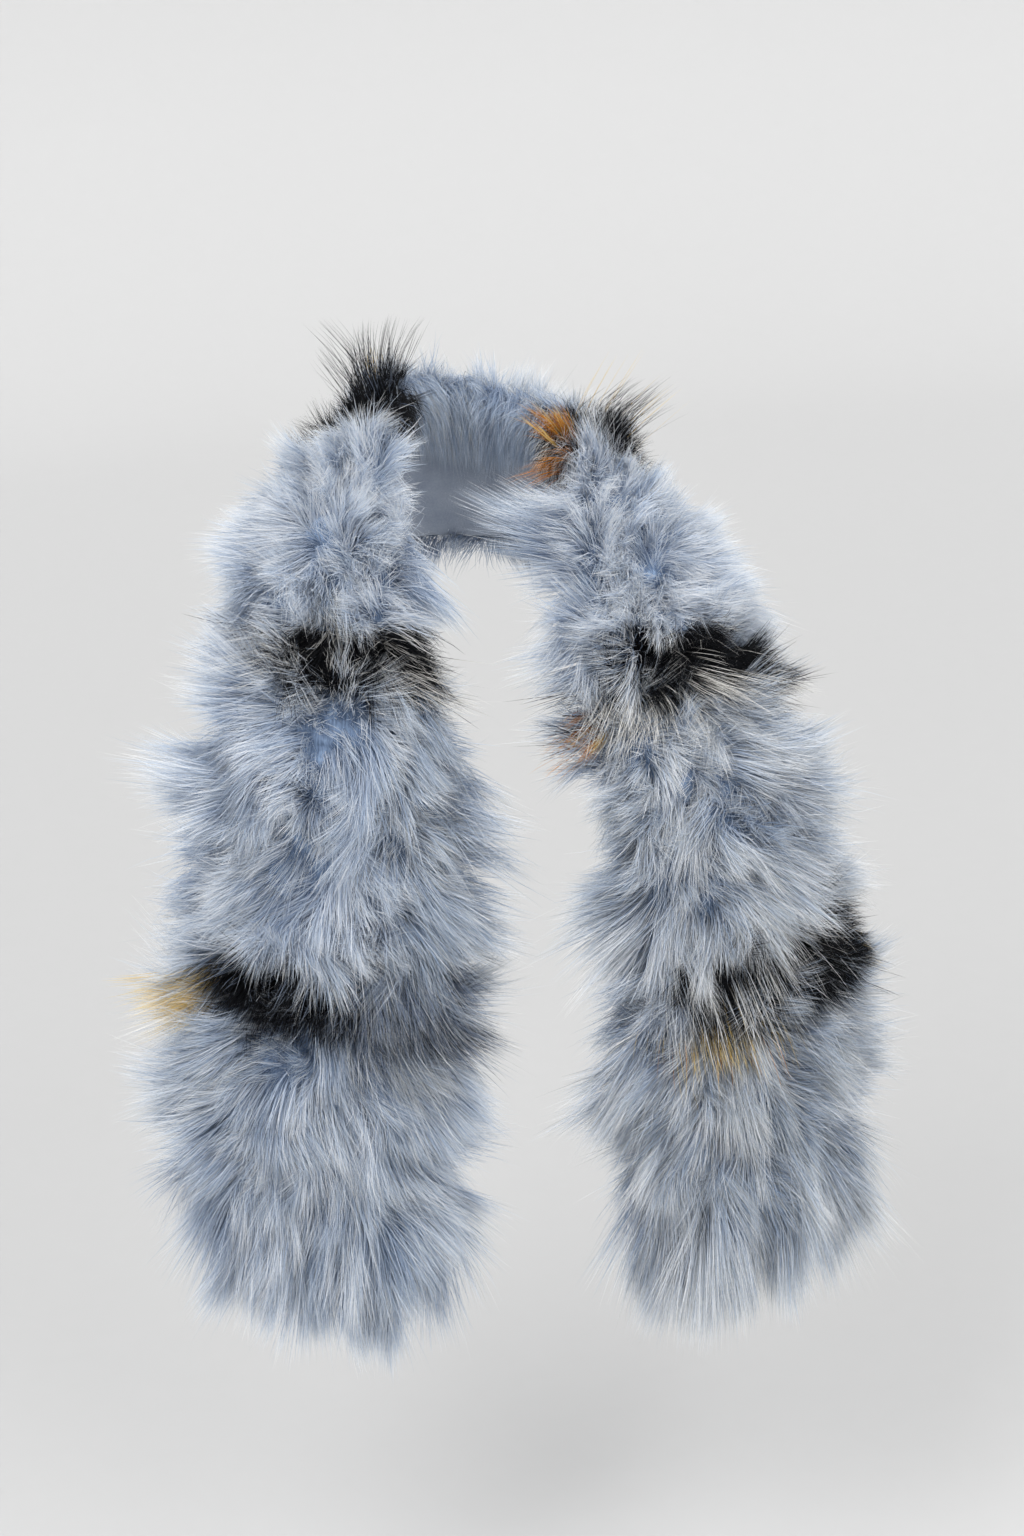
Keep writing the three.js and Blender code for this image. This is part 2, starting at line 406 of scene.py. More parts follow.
@dataclass(frozen=True)
class PeltCut:
    """One of the thirteen pieces, between two seams or between a seam and a cut end."""

    name: str
    start: Seam
    end: Seam
    dark: bool

    @property
    def length(self) -> float:
        """Length of the cut along the strip's middle."""
        return self.end.run - self.start.run

    def run_at(self, share: Array, side: Array) -> Array:
        """Run at a share of the way from the start seam to the end seam."""
        return blend(self.start.at_side(side), self.end.at_side(side), share)


def seam_of(strip: Strip, end: int, within: bool) -> Seam:
    """A strip's seam on one side, half a gap inside it or outside it.

    Args:
        strip: The dark strip.
        end: -1 for its start, 1 for its end.
        within: True for the strip's own side of the seam.

    Returns:
        The seam.
    """
    shift = end * (STRIP_LENGTH / 2 + (-0.5 if within else 0.5) * SEAM_GAP)
    return Seam(strip.run * MM + shift, strip.slant * MM, strip.bow * MM, strip=strip.name)


def cut_pieces(drape: Drape) -> list[PeltCut]:
    """The thirteen pieces, in the order in which they are sewn.

    Args:
        drape: The strip as it hangs.

    Returns:
        The pieces, from the wearer's right end to the left end.
    """
    hands = "right", "left"
    right, left = ([f"{hand}_{x}_panel" for x in ("end", "chest", "shoulder")] for hand in hands)
    panels = [*right, "neck_panel", *reversed(left)]
    ends = [
        Seam(drape.run_of(f"{hand} cut end"), tips=drape.run_of(f"{hand} hair tips"))
        for hand in hands
    ]
    pieces = []
    for i, name in enumerate(panels):
        start = ends[0] if i == 0 else seam_of(STRIPS[i - 1], 1, False)
        end = ends[1] if i == len(STRIPS) else seam_of(STRIPS[i], -1, False)
        pieces.append(PeltCut(name, start, end, dark=False))
        if i < len(STRIPS):
            strip = STRIPS[i]
            seams = seam_of(strip, -1, True), seam_of(strip, 1, True)
            pieces.append(PeltCut(strip.name, *seams, dark=True))
    return pieces


# Meshes and nodes
def new_piece(name: str, points: Array, corners: Array, starts: Array, material: Any,
              maps: dict[str, Array] | None = None) -> bpy.types.Object:
    """Makes a smooth-shaded mesh object at the origin from whole arrays.

    Args:
        name: Name of the object and its mesh.
        points: Corner points, shape (n, 3), in metres.
        corners: Point index of every face corner, face after face.
        starts: Where each face begins in corners.
        material: The finish's material.
        maps: UV maps by name, one (u, v) per face corner.

    Returns:
        The object, linked to the scene.
    """
    mesh = bpy.data.meshes.new(name)
    mesh.vertices.add(len(points))
    mesh.vertices.foreach_set("co", np.ascontiguousarray(points, np.float32).ravel())
    mesh.loops.add(len(corners))
    mesh.loops.foreach_set("vertex_index", np.ascontiguousarray(corners, np.int32))
    mesh.polygons.add(len(starts))
    mesh.polygons.foreach_set("loop_start", np.ascontiguousarray(starts, np.int32))
    mesh.polygons.foreach_set("use_smooth", np.ones(len(starts), bool))
    mesh.update(calc_edges=True)
    for label, places in (maps or {}).items():
        layer = mesh.uv_layers.new(name=label)
        layer.data.foreach_set("uv", np.ascontiguousarray(places, np.float32).ravel())
    mesh.materials.append(material)
    piece = bpy.data.objects.new(name, mesh)
    bpy.context.scene.collection.objects.link(piece)
    return piece


def ring_faces(rows: int, columns: int) -> Array:
    """Quads of a grid that is closed along its columns, with its faces outwards.

    Args:
        rows: Number of rings.
        columns: Points in each ring.

    Returns:
        Point indices, shape (faces, 4).
    """
    row, column = np.meshgrid(np.arange(rows - 1), np.arange(columns), indexing="ij")
    here = row * columns + column
    beside = row * columns + (column + 1) % columns
    return np.stack([here, beside, beside + columns, here + columns], -1).reshape(-1, 4)


def add_node(tree: bpy.types.NodeTree, kind: str, feeds: dict | None = None) -> bpy.types.Node:
    """Adds one node to a material.

    Args:
        tree: The material's node tree.
        kind: The node's type name without its beginning, ShaderNode.
        feeds: By the name of a property, or by the name or number of an input: its value, the
            output socket that feeds it, or a node whose first output does. "stops" holds a
            ramp's colours as (place, hex) pairs.

    Returns:
        The new node.
    """
    node = tree.nodes.new("ShaderNode" + kind)
    for key, value in (feeds or {}).items():
        if key == "stops":
            elements = node.color_ramp.elements
            while len(elements) < len(value):
                elements.new(1.0)
            for element, (place, colour) in zip(elements, value):
                element.position, element.color = place, linear(colour)
        elif isinstance(value, bpy.types.Node):
            tree.links.new(value.outputs[0], node.inputs[key])
        elif isinstance(value, bpy.types.NodeSocket):
            tree.links.new(value, node.inputs[key])
        elif isinstance(key, str) and hasattr(node, key):
            setattr(node, key, value)
        else:
            node.inputs[key].default_value = value
    return node


def linear(colour: str) -> tuple[float, float, float, float]:
    """sRGB hex colour as linear RGBA, by the sRGB curve.

    Args:
        colour: Six hex digits.

    Returns:
        Linear red, green and blue, and an alpha of 1.
    """
    parts = [int(colour[i : i + 2], 16) / 255 for i in (0, 2, 4)]
    return *(c / 12.92 if c <= 0.04045 else ((c + 0.055) / 1.055) ** 2.4 for c in parts), 1.0


def new_material(name: str) -> tuple[bpy.types.Material, Any]:
    """An empty material.

    Args:
        name: What the real material is.

    Returns:
        The material, and add_node for its node tree.
    """
    material = bpy.data.materials.new(name)
    material.use_nodes = True
    material.node_tree.nodes.clear()
    return material, partial(add_node, material.node_tree)


# Finishes
class Tone(Enum):
    """Hair colours, each a column of the strands' colour map: its ramp runs from root to tip."""

    WOOL = ((0.0, "6C7D96"), (0.45, "A6B6CC"), (0.8, "CCD5E1"), (1.0, "D8DFE7"))
    SILVER = ((0.0, "7F8DA2"), (0.45, "BAC5D4"), (0.75, "E2E5E9"), (1.0, "F8F7F5"))
    SLATE = ((0.0, "4E5E78"), (0.5, "8294B0"), (0.9, "A6B4C6"), (1.0, "B4BFCB"))
    ASH = ((0.0, "5E656E"), (0.5, "9399A1"), (0.85, "B9BCBE"), (1.0, "D2D2D0"))
    BLACK = ((0.0, "0D0E11"), (0.5, "111215"), (0.9, "16181C"), (1.0, "212429"))
    CREAM = ((0.0, "0F1013"), (0.46, "1D1D1F"), (0.62, "CFCCC6"), (1.0, "F8F7F4"))
    OCHRE = ((0.0, "5E4C24"), (0.4, "B2924C"), (0.8, "DCC07C"), (1.0, "F0DFB0"))
    ORANGE = ((0.0, "42260F"), (0.45, "9A5F22"), (0.8, "C98532"), (1.0, "E0AE62"))
    SMOKE = ((0.0, "1E222A"), (0.5, "566176"), (0.85, "8D99AD"), (1.0, "B9C1CC"))

    @property
    def column(self) -> int:
        """Number of the tone's column in the colour map."""
        return list(Tone).index(self)


@dataclass(frozen=True)
class DyedFoxHair:
    """Fox hair dyed in the pelt: satin to matt, and light shows through its thin, fine tips."""

    name: str = "dyed_fox_hair"
    roughness: float = 0.55
    ior: float = 1.55
    specular: float = 0.25
    light_through: float = 0.5

    def material(self) -> bpy.types.Material:
        """Colours each strand from the map "OFBake": u picks the tone's column, v the place from
        root to tip.

        Returns:
            The material.
        """
        material, add = new_material(self.name)
        parts = add("SeparateXYZ", {0: add("UVMap", {"uv_map": "OFBake"})}).outputs
        colour = None
        for tone in Tone:
            ramp = add("ValToRGB", {"stops": tone.value, "Fac": parts["Y"]})
            if colour is None:
                colour = ramp.outputs["Color"]
                continue
            edge = tone.column / len(Tone)
            past = add("Math", {"operation": "GREATER_THAN", 0: parts["X"], 1: edge})
            mixed = add("Mix", {"data_type": "RGBA", 0: past, 6: colour, 7: ramp})
            colour = mixed.outputs[2]
        shine = {"Roughness": self.roughness, "IOR": self.ior, "Specular IOR Level": self.specular}
        hair = add("BsdfPrincipled", {**shine, "Base Color": colour})
        glow = add("BsdfTranslucent", {"Color": colour})
        both = add("MixShader", {0: self.light_through, 1: hair, 2: glow})
        add("OutputMaterial", {"Surface": both})
        return material


@dataclass(frozen=True)
class WoollyUndercoat:
    """The short dense wool under the guard hair, matt, and darker where light can't reach. Its
    fibres are too fine to show, so its streaks are drawn as wide as small bundles of them."""

    name: str
    deep: str
    light: str
    lock_width: float = 7 * MM
    strand_width: float = 1.2 * MM
    stretch: float = 0.2
    relief: float = 1.5 * MM

    def material(self) -> bpy.types.Material:
        """Streaks along the hair, drawn on the piece's own map of run and way round, in metres.

        Returns:
            The material.
        """
        material, add = new_material(self.name)
        uv = add("UVMap", {"uv_map": "lay"})
        long_way = add("Mapping", {"Scale": (self.stretch, 1, 1), 0: uv})
        strand = {"Scale": 1 / self.strand_width, "Detail": 3.0, "Vector": long_way}
        streaks = add("TexNoise", strand)
        locks = add("TexNoise", {"Scale": 1 / self.lock_width, "Vector": uv})
        both = add("Math", {"operation": "MULTIPLY", 0: streaks, 1: locks})
        stops = ((0.12, self.deep), (0.42, self.light))
        colour = add("ValToRGB", {"stops": stops, "Fac": both})
        bump = add("Bump", {"Strength": 0.6, "Distance": self.relief, "Height": streaks})
        matt = {"Roughness": 0.95, "Specular IOR Level": 0.1}
        wool = add("BsdfPrincipled", {**matt, "Base Color": colour, "Normal": bump})
        add("OutputMaterial", {"Surface": wool})
        return material


@dataclass(frozen=True)
class SuedeDressedPelt:
    """Skin side of a dressed, drum-dyed pelt: a soft matt nap with faint veins and blotches, and
    an overcast seam of waxed thread along each sewn end. The real nap is too fine to show, so
    it is drawn coarser."""

    name: str
    pale: str
    dark: str
    thread: str
    nap: float = 1.4 * MM
    blotch: float = 26 * MM
    stitch: float = 4 * MM
    stitch_gap: float = 0.45
    seam_width: float = 2.6 * MM
    relief: float = 0.5 * MM

    def material(self) -> bpy.types.Material:
        """Nap and blotches from Object coordinates. The map "cut" holds, in metres, the way
        across and the way from the nearer sewn end, and the stitches are slanted bars on it.

        Returns:
            The material.
        """
        material, add = new_material(self.name)
        place = add("TexCoord").outputs["Object"]
        nap = add("TexNoise", {"Scale": 1 / self.nap, "Detail": 4.0, "Vector": place})
        blotch = add("TexNoise", {"Scale": 1 / self.blotch, "Detail": 5.0, "Vector": place})
        shade = add("Mix", {"data_type": "FLOAT", 0: 0.3, 2: blotch, 3: nap})
        skin = add("ValToRGB", {"stops": ((0.35, self.dark), (0.65, self.pale)), "Fac": shade})
        parts = add("SeparateXYZ", {0: add("UVMap", {"uv_map": "cut"})}).outputs
        lean = add("Math", {"operation": "ADD", 0: parts["X"], 1: parts["Y"]})
        turns = add("Math", {"operation": "MULTIPLY", 0: lean, 1: 2 * math.pi / self.stitch})
        wave = add("Math", {"operation": "SINE", 0: turns})
        bar = add("Math", {"operation": "GREATER_THAN", 0: wave, 1: self.stitch_gap})
        near = add("Math", {"operation": "LESS_THAN", 0: parts["Y"], 1: self.seam_width})
        stitches = add("Math", {"operation": "MULTIPLY", 0: bar, 1: near})
        thread = {6: skin, 7: linear(self.thread)}
        colour = add("Mix", {"data_type": "RGBA", 0: stitches, **thread}).outputs[2]
        relief = add("Math", {"operation": "ADD", 0: nap, 1: stitches})
        bump = add("Bump", {"Strength": 0.5, "Distance": self.relief, "Height": relief})
        soft = {"Roughness": 0.9, "Specular IOR Level": 0.25, "Sheen Weight": 0.2}
        suede = add("BsdfPrincipled", {**soft, "Base Color": colour, "Normal": bump})
        add("OutputMaterial", {"Surface": suede})
        return material


# Hair
class Drift:
    """A smooth random field over the strip: a sum of waves that run every way, of spread 1."""

    def __init__(self, seed: int, shortest: float, longest: float, waves: int = 9) -> None:
        """Draws the waves.

        Args:
            seed: Seed of the random numbers.
            shortest: Shortest wavelength in metres.
            longest: Longest wavelength in metres.
            waves: How many waves are added.
        """
        rng = np.random.default_rng(seed)
        turn = rng.uniform(0, 2 * math.pi, waves)
        pace = 2 * math.pi / rng.uniform(shortest, longest, waves)
        self.pace = pace * np.stack([np.cos(turn), np.sin(turn)])
        self.phase = rng.uniform(0, 2 * math.pi, waves)

    def at(self, run: Array, arc: Array) -> Array:
        """The field's value, as a column."""
        waves = np.sin(np.stack([run, arc], -1) @ self.pace + self.phase)
        return waves.sum(1, keepdims=True) / math.sqrt(len(self.phase) / 2)


class Locks:
    """Places to which the hair draws together: one in each cell of a grid, off its middle."""

    origin = np.array([-0.85, -0.06])
    size = np.array([1.7, 0.45])

    def __init__(self, spacing: float, seed: int) -> None:
        """Draws each lock's place and its own random numbers.

        Args:
            spacing: Distance between locks in metres.
            seed: Seed of the random numbers.
        """
        rng = np.random.default_rng(seed)
        self.spacing = spacing
        shape = tuple(np.ceil(self.size / spacing).astype(int))
        self.shift = rng.uniform(0.08, 0.92, (*shape, 2))
        self.chance = rng.standard_normal((*shape, 4))

    def nearest(self, run: Array, arc: Array) -> tuple[Array, Array, Array]:
        """The nearest lock among those of the cell and its eight neighbours.

        Args:
            run: Runs of the hair roots.
            arc: Ways round the section.

        Returns:
            The locks' runs and ways round, and their random numbers, one row each.
        """
        place = (np.stack([run, arc], -1) - self.origin) / self.spacing
        cell = place.astype(int)
        best = np.full(len(run), np.inf)
        found = np.zeros_like(place)
        chance = np.zeros((len(run), self.chance.shape[-1]))
        for step in np.ndindex(3, 3):
            here = np.clip(cell + step - np.array([1, 1]), 0, np.array(self.shift.shape[:2]) - 1)
            centre = here + self.shift[here[:, 0], here[:, 1]]
            apart = ((centre - place) ** 2).sum(1)
            closer = apart < best
            best = np.where(closer, apart, best)
            found[closer] = centre[closer]
            chance[closer] = self.chance[here[closer, 0], here[closer, 1]]
        found = found * self.spacing + self.origin
        return found[:, 0], found[:, 1], chance


def shares(weights: dict[str, float]) -> tuple[tuple[Tone, float], ...]:
    """How often each hair colour comes, by the tone's name in small letters."""
    return tuple((Tone[name.upper()], weight) for name, weight in weights.items())


@dataclass(frozen=True)
class ToneMix:
    """The hair colours from one side outwards to the next mix, with how often each comes."""

    low: float
    tones: tuple[tuple[Tone, float], ...]


@dataclass(frozen=True)
class Tuft:
    """Long guard hairs that stand out of the fur in wisps: their place, how far that varies, the
    way they point, the angle of their fan, and how far they reach past the fur."""

    run: float
    side: float
    run_spread: float
    side_spread: float
    toward: tuple[float, float, float]
    fan: float
    length: float
    wisps: int
    hairs: int
    tones: tuple[tuple[Tone, float], ...]


@dataclass(frozen=True)
class Look:
    """The hair of a dark strip: colours, how far it leans, how far the hair of the panel above
    leans down over it and that of the panel below up over it, and tufts. The shares are evenly
    spaced from the inner to the outer edge."""

    mixes: tuple[ToneMix, ...]
    lean: tuple[float, ...] = (1.0, 1.0)
    cover: tuple[float, ...] = (0.6, 0.6)
    rise: tuple[float, ...] = (-0.5, -0.5)
    tufts: tuple[Tuft, ...] = ()


def mix(low: float, **weights: float) -> ToneMix:
    """A mix from the side low outwards, with its shares by tone."""
    return ToneMix(low, shares(weights))


def tuft(*sizes: Any, **weights: float) -> Tuft:
    """A tuft from its sizes, in the order of their names, with its shares by tone."""
    return Tuft(*sizes, shares(weights))


# Hair of the blue panels. The first mix, from the inner edge, holds more slate hair: painted
# shade, so the inner side is darker
BLUE_MIXES_WITH_PAINTED_SHADE = (
    mix(-1, slate=0.2, wool=0.34, ash=0.18, silver=0.28),
    mix(-0.45, slate=0.12, wool=0.53, silver=0.35),
)
# Panels with their own mix. The end panels' extra slate and fewer silver hairs, and the left
# shoulder panel's bit of slate, are painted shade: these parts are darker
PANEL_MIXES_AND_PAINTED_SHADE = {
    "right_shoulder_panel": (mix(-1, slate=0.03, wool=0.53, silver=0.44),),
    "left_shoulder_panel": (mix(-1, slate=0.03, wool=0.46, silver=0.51),),
    "left_chest_panel": (mix(-1, slate=0.09, wool=0.35, ash=0.22, silver=0.34),),
    "left_end_panel": (mix(-1, slate=0.2, wool=0.28, ash=0.28, silver=0.24),),
    "right_end_panel": (mix(-1, slate=0.24, wool=0.44, ash=0.08, silver=0.24),),
}
# Painted shade: the hair rolled in over the skin side at the neck is mostly dark slate, so it
# looks shaded
FOLD_PAINTED_SHADE_MIXES = (mix(-1, slate=0.62, wool=0.3, ash=0.08),)

STRIP_LOOKS = {
    "right_strip_1": Look(
        (mix(-1, black=0.97, smoke=0.03),),
        cover=(0.2, 0.5, 0.8),
        rise=(0.3, 0.3, 0.3),
        tufts=(
            tuft(-103, -0.85, 13, 0.14, (-0.05, -0.1, 1), 33, 44, 22, 14, black=0.9, ochre=0.05,
                 cream=0.05),
            tuft(-92, -0.9, 8, 0.1, (0.85, -0.15, 0.5), 18, 28, 14, 8, black=0.85, smoke=0.15),
        ),
    ),
    "right_strip_2": Look(
        (mix(-1, black=0.98, cream=0.02), mix(0.5, black=0.25, smoke=0.1, wool=0.3, silver=0.35)),
        lean=(1.0, 1.3, 2.6),
        cover=(0.6, 0.2, 2.2),
        rise=(-0.3, -0.3, 0.9),
        tufts=(
            tuft(-278, 0.7, 7, 0.2, (-0.9, -0.35, -0.1), 13, 26, 60, 3, cream=0.6, silver=0.4),
            tuft(-274, 0.0, 5, 0.35, (0.1, -0.75, -0.6), 20, 7, 120, 10, black=1),
            tuft(-276, -0.65, 8, 0.22, (0.92, -0.3, -0.25), 11, 28, 72, 3, cream=0.85, black=0.15),
            tuft(-270, 0.0, 8, 0.3, (0.5, -0.7, -0.1), 30, 14, 12, 4, cream=0.5, silver=0.5),
        ),
    ),
    "right_strip_3": Look(
        (
            mix(-1, smoke=0.5, black=0.2, ash=0.15, silver=0.15),
            mix(-0.2, black=0.96, smoke=0.04),
            mix(0.7, slate=0.15, wool=0.5, silver=0.35),
        ),
        lean=(2.2, 1.8, -0.6, 0.8, 3.0),
        cover=(-0.1, -0.1, -0.2, -0.2, 1.2),
        rise=(-0.6, 0.3, 1.0, 0.9, 0.5),
        tufts=(
            tuft(-491, 0.7, 8, 0.05, (-0.93, 0.28, -0.12), 9, 46, 36, 14, ochre=0.85, cream=0.15),
            tuft(-484, 0.35, 7, 0.25, (0.0, -0.75, -0.65), 35, 10, 110, 12, black=1),
            tuft(-468, -0.6, 20, 0.2, (0.1, -0.75, -0.65), 50, 12, 170, 14, smoke=0.55, black=0.2,
                 ash=0.13, silver=0.12),
            tuft(-508, -0.6, 10, 0.25, (0.55, -0.6, -0.65), 26, 24, 80, 10, smoke=0.25, ash=0.3,
                 silver=0.45),
        ),
    ),
    "left_strip_1": Look(
        (mix(-1, black=0.97, cream=0.03),),
        cover=(0.2, 0.5, 0.8),
        rise=(-1.0, -0.4, 0.2),
        tufts=(
            tuft(112, -0.98, 4, 0.03, (-0.8, -0.35, 0.65), 14, 32, 30, 7, orange=0.9, ochre=0.1),
            tuft(127, -0.98, 4, 0.03, (-0.9, -0.4, -0.5), 14, 28, 24, 7, orange=0.8, black=0.2),
            tuft(97, -0.7, 9, 0.18, (0.85, 0.1, 0.5), 13, 44, 26, 7, black=0.84, cream=0.08,
                 ochre=0.08),
            tuft(112, -0.75, 6, 0.12, (0.3, -0.4, 0.85), 16, 14, 50, 12, black=1),
            tuft(112, -0.8, 9, 0.12, (0.4, -0.4, 0.8), 20, 20, 20, 6, silver=0.6, black=0.4),
        ),
    ),
    "left_strip_2": Look(
        (mix(-1, black=0.15, slate=0.25, silver=0.6), mix(-0.5, black=0.98, cream=0.02)),
        lean=(0.9, 0.5, 0.4),
        cover=(2.2, 0.7, -0.3, 0.0, 0.4),
        rise=(0.6, 0.1, 0.1),
        tufts=(
            tuft(292, -0.96, 6, 0.04, (-0.75, -0.3, -0.6), 12, 18, 11, 12, orange=0.7, ochre=0.2,
                 black=0.1),
            tuft(276, -0.55, 8, 0.2, (-0.55, -0.4, -0.8), 13, 36, 64, 3, cream=0.9, black=0.1),
            tuft(258, 0.0, 6, 0.25, (0.2, -0.7, -0.6), 22, 9, 110, 10, black=1),
            tuft(270, -0.25, 5, 0.12, (-0.3, -0.6, -0.7), 18, 12, 50, 10, black=1),
            tuft(268, -0.2, 7, 0.2, (0.1, -0.5, -0.9), 15, 30, 50, 3, cream=0.9, black=0.1),
            tuft(262, 0.1, 6, 0.2, (0.75, -0.5, -0.35), 12, 36, 52, 3, cream=0.9, black=0.1),
            tuft(266, 0.8, 9, 0.15, (0.8, -0.25, -0.6), 14, 20, 16, 5, cream=0.5, black=0.5),
        ),
    ),
    "left_strip_3": Look(
        (mix(-1, wool=0.4, silver=0.3, smoke=0.3), mix(-0.55, black=0.98, cream=0.02)),
        lean=(1.0, 1.1, 1.1, 0.7, 0.4),
        cover=(2.2, 0.8, 0.2, 0.2, -0.4),
        rise=(0.5, -0.5, -0.5, -0.8, -0.8),
        tufts=(
            tuft(460, 0.64, 7, 0.16, (0.2, -0.65, -0.75), 26, 12, 150, 12, black=1),
            tuft(461, -0.2, 9, 0.3, (0.1, -0.5, -0.85), 12, 14, 90, 5, black=0.85, cream=0.15),
            tuft(463, -0.36, 6, 0.22, (0.15, -0.4, -0.9), 10, 28, 110, 3, ochre=0.65, orange=0.08,
                 cream=0.12, black=0.15),
            tuft(462, 0.08, 7, 0.26, (0.15, -0.7, -0.7), 22, 12, 150, 13, black=1),
            tuft(462, 0.95, 7, 0.05, (0.85, -0.1, -0.2), 18, 12, 60, 12, black=1),
            tuft(444, -0.1, 9, 0.35, (0.15, -0.5, -0.85), 11, 32, 60, 3, silver=0.8, cream=0.2),
            tuft(464, 0.95, 10, 0.05, (0.85, -0.1, -0.5), 14, 18, 12, 6, cream=0.5, ochre=0.3,
                 black=0.2),
        ),
    ),
}


@dataclass(frozen=True)
class Strands:
    """Curves of many hairs and what their ribbons need, one row for each hair."""

    root: Array
    bend: Array
    tip: Array
    facing: Array
    width: Array
    tone: Array
    kind: Array

    def only(self, kind: int) -> "Strands":
        """The strands of one kind of ribbon."""
        return Strands(*(getattr(self, part.name)[self.kind == kind] for part in fields(self)))

    def joined(self, others: list["Strands"]) -> "Strands":
        """These strands and others, one after another."""
        names = [part.name for part in fields(self)]
        return Strands(*(np.concatenate([getattr(x, n) for x in (self, *others)]) for n in names))


@dataclass(frozen=True)
class Ribbon:
    """How one kind of hair is drawn: how often it comes, its width, how much longer it is than
    the fur, its points, each a place along the hair and a share of the half width, and its
    faces."""

    name: str
    often: float
    width: float
    longer: float
    points: tuple[Pair, ...]
    faces: tuple[tuple[int, ...], ...]


RIBBONS = (
    Ribbon("wool", 0.72, 0.62 * MM, 0.94, ((0.18, 0), (0.62, -1), (0.62, 1), (1, 0)),
           ((0, 2, 3, 1),)),
    Ribbon("guard hair", 0.28, 0.36 * MM, 1.06,
           ((0.18, -0.8), (0.18, 0.8), (0.5, -1), (0.5, 1), (0.78, -0.85), (0.78, 0.85), (1, 0)),
           ((0, 1, 3, 2), (2, 3, 5, 4), (4, 5, 6))),
    Ribbon("long hair", 0.0, 0.38 * MM, 1.0,
           ((0.18, -0.8), (0.18, 0.8), (0.45, -1), (0.45, 1), (0.66, -0.9), (0.66, 0.9),
            (0.85, -0.6), (0.85, 0.6), (1, 0)),
           ((0, 1, 3, 2), (2, 3, 5, 4), (4, 5, 7, 6), (6, 7, 8))),
)
GUARD, LONG = 1, 2


